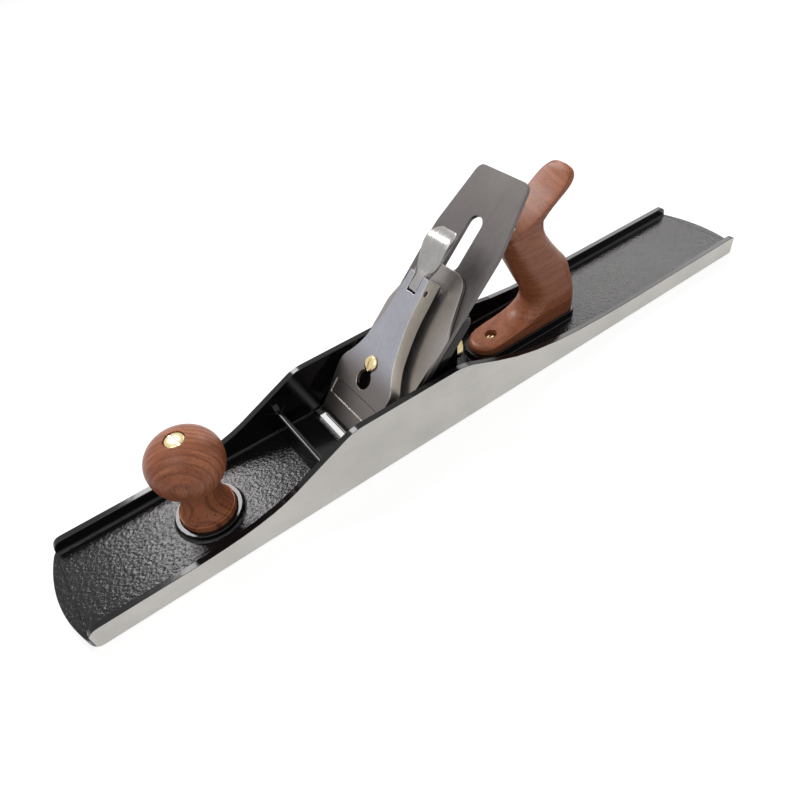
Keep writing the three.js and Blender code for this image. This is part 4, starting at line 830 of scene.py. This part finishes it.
class PLANE_OT_lever_cap(bpy.types.Operator):
    """Finishes the lever cap, with painted reflection making its side walls brighter."""

    bl_idname = "plane.lever_cap"
    bl_label = "Lever cap"

    def execute(self, context):
        piece = finished_copy("lever_cap", "lever_cap_finished", "satin_cap", settings("steel").cap_edge,
                              material("cap_plating", cap_plating), material("cap_wall", cap_wall),
                              wide=settings("steel").cap_face, merge=settings("steel").cap_merge)
        # Painted reflection: faces turned sideways take the lighter wall finish
        for face in piece.data.polygons:
            face.material_index = int(abs(face.normal.y) > WALL_SHARE)
        return {"FINISHED"}


# Cam lever sections: (share of its reach, height or half width as a share)
CAM_TOP_SHARES = [(0, 0.607), (0.2, 0.6), (0.3, 0.52), (0.4, 0.55), (0.5, 0.67), (0.6, 0.86),
                  (0.68, 0.98), (0.74, 1), (0.81, 0.92), (0.88, 0.7), (0.94, 0.42), (0.98, 0.18), (1, 0.03)]
CAM_UNDER_SHARES = [(0, -0.7), (0.15, -0.55), (0.25, -0.3), (0.4, 0.0), (0.6, 0.3), (0.74, 0.42),
                    (0.85, 0.25), (0.93, 0.0), (1, -0.12)]
CAM_WIDTH_SHARES = [(0, 0.36), (0.22, 0.36), (0.27, 0.5), (0.33, 0.7), (0.42, 0.86), (0.52, 0.95),
                    (0.62, 1), (0.82, 1), (0.9, 0.93), (0.95, 0.82), (0.98, 0.7), (1, 0.58)]
CAM_EDGE_SHARES = [(0, 1), (0.55, 0.99), (0.8, 0.95), (0.92, 0.85), (0.98, 0.65), (1, 0.4)]
CAM_ROOT_THINNING_SHARE = 0.25  # of the edge's thinning, kept at the root


def cam_points(sizes):
    """The cam lever's points, loop by loop across it, and the number of points in a loop."""
    tops = [i / sizes.top_steps for i in range(sizes.top_steps + 1)]
    unders = [1 - i / sizes.under_steps for i in range(sizes.under_steps + 1)]
    loop = [(a * sizes.reach, smooth_value(CAM_TOP_SHARES, a) * sizes.rise, a) for a in tops]
    loop += [(a * sizes.reach, smooth_value(CAM_UNDER_SHARES, a) * sizes.rise, a) for a in unders]
    back = arc(0, 0, sizes.root, sizes.root, math.pi * 1.5, math.pi / 2, sizes.root_steps)
    loop += [(x, z, 0) for x, z in back[1:-1] if x < 0]
    points = []
    for i in range(sizes.layers + 1):
        across = math.cos(math.pi * (1 - i / sizes.layers))
        thin = smooth_value(CAM_EDGE_SHARES, abs(across))
        for x, z, along in loop:
            half = smooth_value(CAM_WIDTH_SHARES, along) * sizes.tab_width / 2
            heights = smooth_value(CAM_TOP_SHARES, along) + smooth_value(CAM_UNDER_SHARES, along)
            middle = heights / 2 * sizes.rise
            soft = min(max(x / sizes.reach, 0), 1)
            keep = 1 + (thin - 1) * (CAM_ROOT_THINNING_SHARE + (1 - CAM_ROOT_THINNING_SHARE) * soft)
            points.append((x, across * half, middle + (z - middle) * keep))
    return points, len(loop)


def lofted(name, points, count):
    """A closed piece over equal loops of points."""
    faces = [(row + i, row + (i + 1) % count, row + count + (i + 1) % count, row + count + i)
             for row in range(0, len(points) - count, count) for i in range(count)]
    faces += [tuple(range(count)), tuple(range(len(points) - count, len(points)))]
    return add_object(name, tidied(mesh_from(name, points, faces), SHAPED_MERGE))


class PLANE_OT_cam_lever(bpy.types.Operator):
    """Shapes the cam lever over sections across it, with a rolled thumb tab."""

    bl_idname = "plane.cam_lever"
    bl_label = "Cam lever"

    def execute(self, context):
        sizes = settings("cam")
        piece = lofted("cam_lever_shaped", *cam_points(sizes))
        finish = material("cam_plating", cam_plating)
        half = sizes.root_width / 2
        lobe = turned("lobe", [(0, -half), (sizes.lobe, -half), (sizes.lobe, half), (0, half)], finish,
                      sizes.lobe_sides, Matrix.Translation((0, 0, -sizes.lobe_drop)) @ QUARTER_TURN_X)
        stem = box_tool((-sizes.root, -half, -sizes.lobe_drop), (sizes.root, half, 0))
        for part in (stem, lobe):
            join = piece.modifiers.new("Join", "BOOLEAN")
            join.operation = "UNION"
            join.solver = "EXACT"
            join.object = part
        applied(piece)
        for part in (stem, lobe):
            bpy.data.objects.remove(part)
        carve(piece, rod_tool(sizes.pin_bore / 2, -sizes.tab_width, sizes.tab_width, QUARTER_TURN_X))
        piece.data.transform(bed_frame(sizes.pin_place, sizes.pin_rise))
        dress(piece, finish)
        smooth_edges(piece, 0)
        settle(piece, "cam_lever")
        return {"FINISHED"}


NECK_TOP_SHARE = 1.06  # of the neck's radius, where the ball begins
NECK_PULL_SHARES = (0.88, 0.55)  # of the neck's radius and of its height, which its curve heads for
BEAD_STEPS, NECK_STEPS, BALL_STEPS, CROWN_STEPS = 4, 20, 28, 26


class PLANE_OT_knob(bpy.types.Operator):
    """Turns the front knob with its bore and the seat of its nut."""

    bl_idname = "plane.knob"
    bl_label = "Front knob"

    def execute(self, context):
        sizes = settings("knob")
        low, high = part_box("front_knob")
        ball, neck, flange = sizes.ball_diameter / 2, sizes.neck_diameter / 2, sizes.flange_diameter / 2
        bore, seat = sizes.rod_diameter / 2 + sizes.gap, sizes.nut_diameter / 2 + sizes.gap
        meet = math.asin(neck * NECK_TOP_SHARE / ball)
        start = sizes.ball_height - ball * math.cos(meet)
        top = sizes.ball_height + sizes.crown_rise
        rim = math.acos(seat / ball)
        edge = sizes.bead / 2
        pull = (neck * NECK_PULL_SHARES[0], start * NECK_PULL_SHARES[1])
        profile = [(bore, 0), (flange - edge, 0), (flange, edge), (flange, sizes.flange_height - edge)]
        profile += arc(flange - edge, sizes.flange_height - edge, edge, edge, 0, math.pi / 2, BEAD_STEPS)[1:]
        profile += [(flange - sizes.bead, sizes.flange_height)]
        profile += quadratic((flange - sizes.bead, sizes.flange_height + sizes.bead), pull,
                             (neck * NECK_TOP_SHARE, start), NECK_STEPS)
        profile += arc(0, sizes.ball_height, ball, ball, meet - math.pi / 2, 0, BALL_STEPS)[1:]
        profile += arc(0, sizes.ball_height, ball, sizes.crown_rise, 0, rim, CROWN_STEPS)[1:]
        floor = top - sizes.nut_length - sizes.gap
        profile += [(seat, floor), (bore, floor), (bore, 0)]
        stand = Matrix.Translation(((low.x + high.x) / 2, 0, low.z))
        piece = turned("turned_knob", profile, material("knob_wood", knob_wood), sizes.sides, stand)
        smooth_edges(piece, 0)
        settle(piece, "front_knob")
        return {"FINISHED"}


# Handle outlines: (share of its height, share of its foot's length, of its thickness or of half of it)
TOTE_FRONT_SHARES = [(0, 0), (0.033, 0.008), (0.048, 0.043), (0.057, 0.129), (0.063, 0.215),
                     (0.075, 0.312), (0.094, 0.398), (0.121, 0.462), (0.156, 0.505), (0.2, 0.522),
                     (0.27, 0.5), (0.328, 0.462), (0.392, 0.419), (0.482, 0.361), (0.567, 0.306),
                     (0.623, 0.274), (0.676, 0.247), (0.733, 0.226), (0.755, 0.318), (0.786, 0.425),
                     (0.83, 0.534), (0.887, 0.648), (0.944, 0.738), (0.98, 0.79), (1, 0.825)]
TOTE_REAR_SHARES = [(0, 1), (0.103, 1), (0.218, 0.978), (0.323, 0.941), (0.385, 0.903), (0.456, 0.828),
                    (0.567, 0.72), (0.658, 0.651), (0.729, 0.629), (0.781, 0.64), (0.826, 0.683),
                    (0.861, 0.746), (0.892, 0.811), (0.922, 0.858), (0.949, 0.874), (0.975, 0.868),
                    (1, 0.837)]
TOTE_THICKNESS_SHARES = [(0, 1), (0.15, 1), (0.25, 0.93), (0.6, 0.96), (0.85, 1), (0.94, 0.93),
                         (0.985, 0.66), (1, 0.34)]
TOTE_FRONT_CAP_SHARES = [(0, 1), (0.16, 1), (0.3, 1.1), (0.55, 0.9), (0.7, 0.5), (0.76, 0.12), (1, 0.12)]
TOTE_REAR_CAP_SHARES = [(0, 0.9), (0.17, 0.9), (0.3, 1.2), (0.65, 1.1), (0.85, 1), (1, 1)]
TOTE_CAP_STEPS = 24


def tote_ring(level, sizes):
    """One level outline of the handle: a front cap, straight sides and a rear cap."""
    front = smooth_value(TOTE_FRONT_SHARES, level) * sizes.foot_length
    rear = smooth_value(TOTE_REAR_SHARES, level) * sizes.foot_length
    half = smooth_value(TOTE_THICKNESS_SHARES, level) * sizes.thickness / 2
    room = (rear - front) / 2
    toe = min(smooth_value(TOTE_FRONT_CAP_SHARES, level) * half, room)
    heel = min(smooth_value(TOTE_REAR_CAP_SHARES, level) * half, room)
    toe_arc = arc(0, 0, toe, half, math.pi * 1.5, math.pi / 2, TOTE_CAP_STEPS)
    heel_arc = arc(0, 0, heel, half, math.pi / 2, -math.pi / 2, TOTE_CAP_STEPS)
    ring = [(front + toe + x, y) for x, y in toe_arc] + [(rear - heel + x, y) for x, y in heel_arc]
    return [(x, y, level * sizes.height) for x, y in ring]


class PLANE_OT_tote(bpy.types.Operator):
    """Shapes the rear handle over level outlines and bores it for its nut and toe screw."""

    bl_idname = "plane.tote"
    bl_label = "Rear handle"

    def execute(self, context):
        sizes = settings("tote")
        low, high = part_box("rear_tote")
        rows = [level for level, _ in TOTE_FRONT_SHARES]
        steps = range(sizes.layers)
        levels = [a + (b - a) * i / sizes.layers for a, b in zip(rows, rows[1:]) for i in steps] + [1]
        rings = [tote_ring(level, sizes) for level in levels]
        piece = lofted("shaped_tote", [point for ring in rings for point in ring], len(rings[0]))
        foot = Vector((sizes.rod_foot, 0, -settings("knob").gap))
        along = Vector((sizes.rod_top - sizes.rod_foot, 0, sizes.rod_rise))
        rod = Matrix.Translation(foot) @ along.to_track_quat("Z", "Y").to_matrix().to_4x4()
        screw = Matrix.Translation((sizes.screw_place, 0, 0))
        carve(piece, rod_tool(sizes.nut_bore / 2, sizes.nut_depth, sizes.height * 2, rod),
              rod_tool(sizes.screw_bore / 2, sizes.screw_seat, sizes.height / 3, screw))
        piece.data.transform(Matrix.Translation((low.x, 0, low.z)))
        dress(piece, material("tote_wood", tote_wood))
        smooth_edges(piece, 0)
        settle(piece, "rear_tote")
        return {"FINISHED"}


DOME_STEPS, NUT_DOME_STEPS = 14, 10
HEAD_PARTS = 6  # a domed head's straight edge is one of these parts of its height
RIM_PARTS = 9  # the wheel's corner is cut by one of these parts of its rim


def slotted(name, node, profile, top, across, place_at, finish):
    """A turned brass head or nut with a driver slot, its edges lightly rounded."""
    sizes = settings("fastener")
    piece = turned(name, profile, finish, sizes.sides, place_at)
    carve(piece, box_tool((-across, -sizes.slot_width / 2, top - sizes.slot_depth),
                          (across, sizes.slot_width / 2, top + sizes.slot_depth), place_at))
    dress(piece, finish)
    smooth_edges(piece, sizes.edge_round)
    settle(piece, node)


def domed_screw(node, head, head_height, shank, depth, place_at, finish):
    """A brass screw with a domed, slotted head on its place's origin."""
    radius, straight = head / 2, head_height / HEAD_PARTS
    profile = [(0, -depth), (shank / 2, -depth), (shank / 2, 0), (radius, 0)]
    profile += arc(0, straight, radius, head_height - straight, 0, math.pi / 2, DOME_STEPS)
    slotted(node + "_turned", node, profile, head_height, head, place_at, finish)


class PLANE_OT_brass(bpy.types.Operator):
    """Turns the brass nuts, screws and the knurled depth wheel."""

    bl_idname = "plane.brass"
    bl_label = "Brass parts"

    def execute(self, context):
        finish = material("brass", brass)
        self.nuts(finish)
        self.wheel(finish)
        sizes = settings("fastener")
        twist = Matrix.Rotation(sizes.cap_twist, 4, "Z")
        stand = bed_frame(sizes.cap_screw_place, sizes.cap_screw_rise) @ twist
        domed_screw("lever_cap_screw", sizes.cap_head, sizes.cap_head_height, sizes.cap_shank,
                    sizes.cap_screw_rise + sizes.cap_screw_depth, stand, finish)
        low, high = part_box("tote_toe_screw")
        seat = high.z - sizes.toe_head_height
        twist = Matrix.Rotation(sizes.toe_twist, 4, "Z")
        stand = Matrix.Translation(((low.x + high.x) / 2, 0, seat)) @ twist
        domed_screw("tote_toe_screw", sizes.toe_head, sizes.toe_head_height, sizes.toe_shank,
                    seat - low.z, stand, finish)
        return {"FINISHED"}

    def nuts(self, finish):
        """The nuts on top of the knob and in the handle."""
        sizes, knob, tote = settings("fastener"), settings("knob"), settings("tote")
        radius, bore = knob.nut_diameter / 2, knob.rod_diameter / 2 + knob.gap
        dome = arc(0, -sizes.slot_depth, radius, sizes.slot_depth, 0, math.pi / 2, NUT_DOME_STEPS)
        profile = [(0, -knob.nut_length / 2), (bore, -knob.nut_length / 2), (bore, -knob.nut_length),
                   (radius, -knob.nut_length), *dome]
        low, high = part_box("knob_nut")
        stand = Matrix.Translation(((low.x + high.x) / 2, 0, high.z))
        twist = Matrix.Rotation(sizes.nut_twist, 4, "Z")
        slotted("knob_nut_turned", "knob_nut", profile, 0, radius * 2, stand @ twist, finish)
        along = Vector((tote.rod_top - tote.rod_foot, 0, tote.rod_rise)).normalized()
        low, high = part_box("tote_nut")
        middle = (low + high) / 2
        turned_to = along.to_track_quat("Z", "Y").to_matrix().to_4x4()
        stand = Matrix.Translation(middle + along * knob.nut_length / 2) @ turned_to
        slotted("tote_nut_turned", "tote_nut", profile, 0, radius * 2, stand, finish)

    def wheel(self, finish):
        """The depth wheel about its own axis, from its front flange to its dished rear face."""
        sizes = settings("wheel")
        bore, hub, rim = sizes.bore / 2, sizes.hub_diameter / 2, sizes.diameter / 2
        start = sizes.flange * 2 + sizes.groove_width
        end = start + sizes.rim_width
        edge = sizes.rim_width / RIM_PARTS
        floor = sizes.groove_diameter / 2
        groove_end = sizes.flange + sizes.groove_width
        profile = [(bore, 0), (hub, 0), (hub, sizes.flange), (floor, sizes.flange), (floor, groove_end),
                   (hub, groove_end), (hub, start), (rim - edge, start), (rim, start + edge),
                   (rim, end - edge), (rim - edge, end),
                   (sizes.dish_diameter / 2, end), (sizes.dish_diameter / 2 - edge, end - sizes.dish),
                   (hub, end - sizes.dish), (hub, end), (bore, end), (bore, 0)]
        low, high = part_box("depth_adjuster_wheel")
        axis = Matrix.Translation((low.x, 0, (low.z + high.z) / 2)) @ QUARTER_TURN_Y
        piece = turned("depth_wheel_turned", profile, finish, sizes.teeth * 2, axis, sizes.tooth_depth,
                       rim - edge / 2)
        smooth_edges(piece, 0)
        settle(piece, "depth_adjuster_wheel")


class PLANE_OT_small_steel(bpy.types.Operator):
    """Finishes the steel screws, pins, levers and rods that stay as the CAD has them."""

    bl_idname = "plane.small_steel"
    bl_label = "Small steel parts"

    def execute(self, context):
        finish = material("dark_steel", dark_steel)
        for name, node in sorted(frame["nodes"].items()):
            if not node.hide_render:
                finished_copy(name, name + "_finished", "dark_steel", settings("steel").small_edge, finish)
        return {"FINISHED"}


# Stage

# Soft lamps: (name, place, size, power in watts, colour)
LAMPS = [("softbox_back", (-0.12, 0.95, 1.1), (0.3, 0.5), 8, (1, 0.98, 0.98)),
         ("softbox_heel", (1.05, 0.62, 0.78), (0.7, 0.5), 4, (1, 0.98, 0.97)),
         ("softbox_left", (-0.6, -0.3, 1.4), (1.2, 1.0), 6, (1, 0.99, 0.98))]
LAMPS_FACE = Vector((-0.05, 0, 0.05))
PAPER_ROUGHNESS = 0.9


def area_lamp(name, at, size, power, tint):
    """A soft oblong lamp facing the middle of the plane."""
    lamp = bpy.data.lights.new(name, "AREA")
    lamp.shape = "RECTANGLE"
    lamp.size, lamp.size_y = size
    lamp.energy = power
    lamp.color = tint
    holder = add_object(name, lamp)
    holder.location = at
    holder.rotation_euler = (LAMPS_FACE - Vector(at)).to_track_quat("-Z", "Y").to_euler()


def seen_ray(tree):
    """1 for rays from the camera, mirrors and glass, 0 for light that falls on the object."""
    path = tree.node("ShaderNodeLightPath").outputs
    mirrored = tree.math("MAXIMUM", path["Is Glossy Ray"], path["Is Transmission Ray"])
    return tree.math("MAXIMUM", path["Is Camera Ray"], mirrored)


class PLANE_OT_stage(bpy.types.Operator):
    """Sets the camera, the pale floor, the soft lamps and the white background."""

    bl_idname = "plane.stage"
    bl_label = "Stage"

    def execute(self, context):
        sizes = settings("stage")
        self.camera(sizes)
        self.floor(sizes)
        self.world(sizes)
        for lamp in LAMPS:
            area_lamp(*lamp)
        context.scene.view_settings.view_transform = "Standard"
        return {"FINISHED"}

    def camera(self, sizes):
        """The camera at the photograph's angle."""
        a, e, r = sizes.azimuth, sizes.elevation, sizes.roll
        back = Vector((math.sin(a) * math.cos(e), -math.cos(a) * math.cos(e), math.sin(e)))
        level = Vector((0, 0, 1)).cross(back).normalized()
        upright = back.cross(level)
        right = level * math.cos(r) + upright * math.sin(r)
        up = upright * math.cos(r) - level * math.sin(r)
        data = bpy.data.cameras.new("camera")
        data.lens = sizes.lens
        data.clip_start = sizes.distance / 50
        holder = add_object("camera", data)
        turned_to = Matrix((right, up, back)).transposed().to_4x4()
        holder.matrix_world = Matrix.Translation(Vector(sizes.target) + back * sizes.distance) @ turned_to
        bpy.context.scene.camera = holder

    def floor(self, sizes):
        """A pale floor that keeps the object's shadow."""
        half = sizes.floor_size / 2
        square = ((-half, -half), (half, -half), (half, half), (-half, half))
        corners = [(x, y, -sizes.floor_drop) for x, y in square]
        floor = add_object("floor", mesh_from("floor", corners, [(0, 1, 2, 3)]))
        paper = bpy.data.materials.new("studio_paper")
        paper.use_nodes = True
        tree = Tree(paper.node_tree)
        shader = tree.tree.nodes["Principled BSDF"]
        shader.inputs["Base Color"].default_value = (*[sizes.floor_shade] * 3, 1)
        shader.inputs["Roughness"].default_value = PAPER_ROUGHNESS
        strength = tree.math("MULTIPLY", seen_ray(tree), sizes.floor_glow)
        glow = tree.node("ShaderNodeEmission", {"Strength": strength})
        both = tree.node("ShaderNodeAddShader", {0: shader.outputs[0], 1: glow.outputs[0]})
        tree.tree.links.new(both.outputs[0], tree.tree.nodes["Material Output"].inputs["Surface"])
        floor.data.materials.append(paper)

    def world(self, sizes):
        """White where it is seen, and a plain soft light on the object."""
        world = bpy.data.worlds.new("studio")
        world.use_nodes = True
        bpy.context.scene.world = world
        tree = Tree(world.node_tree)
        strength = tree.node("ShaderNodeMapRange",
                             {"Value": seen_ray(tree), "To Min": sizes.soft_light, "To Max": 1.0})
        background = tree.tree.nodes["Background"].inputs
        tree.tree.links.new(strength.outputs[0], background["Strength"])
        background["Color"].default_value = (1, 1, 1, 1)


GROUPS = {"casting": CastingSizes, "knob": KnobSizes, "tote": ToteSizes, "fastener": FastenerSizes,
          "cam": CamSizes, "wheel": WheelSizes, "steel": SteelSizes, "finishes": Finishes,
          "stage": StageSizes}
OPERATORS = (PLANE_OT_stage, PLANE_OT_casting, PLANE_OT_knob, PLANE_OT_tote, PLANE_OT_frog,
             PLANE_OT_blades, PLANE_OT_lever_cap, PLANE_OT_cam_lever, PLANE_OT_brass, PLANE_OT_small_steel)


class PLANE_PT_panel(bpy.types.Panel):
    """Lists the plane's pieces and sizes in the sidebar."""

    bl_idname = "PLANE_PT_panel"
    bl_label = "Jointer plane"
    bl_space_type = "VIEW_3D"
    bl_region_type = "UI"
    bl_category = "Plane"

    def draw(self, context):
        for operator in OPERATORS:
            self.layout.operator(operator.bl_idname)
        for name, group in GROUPS.items():
            box = self.layout.box()
            for key in group.__annotations__:
                box.prop(settings(name), key)


def register():
    """Makes the operators, the panel and the sizes known to Blender."""
    for cls in (*GROUPS.values(), *OPERATORS, PLANE_PT_panel):
        bpy.utils.register_class(cls)
    for name, group in GROUPS.items():
        setattr(bpy.types.Scene, "plane_" + name, PointerProperty(type=group))


def unregister():
    """Takes them out again."""
    for name in GROUPS:
        delattr(bpy.types.Scene, "plane_" + name)
    for cls in (PLANE_PT_panel, *reversed(OPERATORS), *GROUPS.values()):
        bpy.utils.unregister_class(cls)


def main():
    """Makes the stage and every piece."""
    register()
    for operator in OPERATORS:
        group, name = operator.bl_idname.split(".")
        getattr(getattr(bpy.ops, group), name)()


if __name__ == "__main__":
    main()
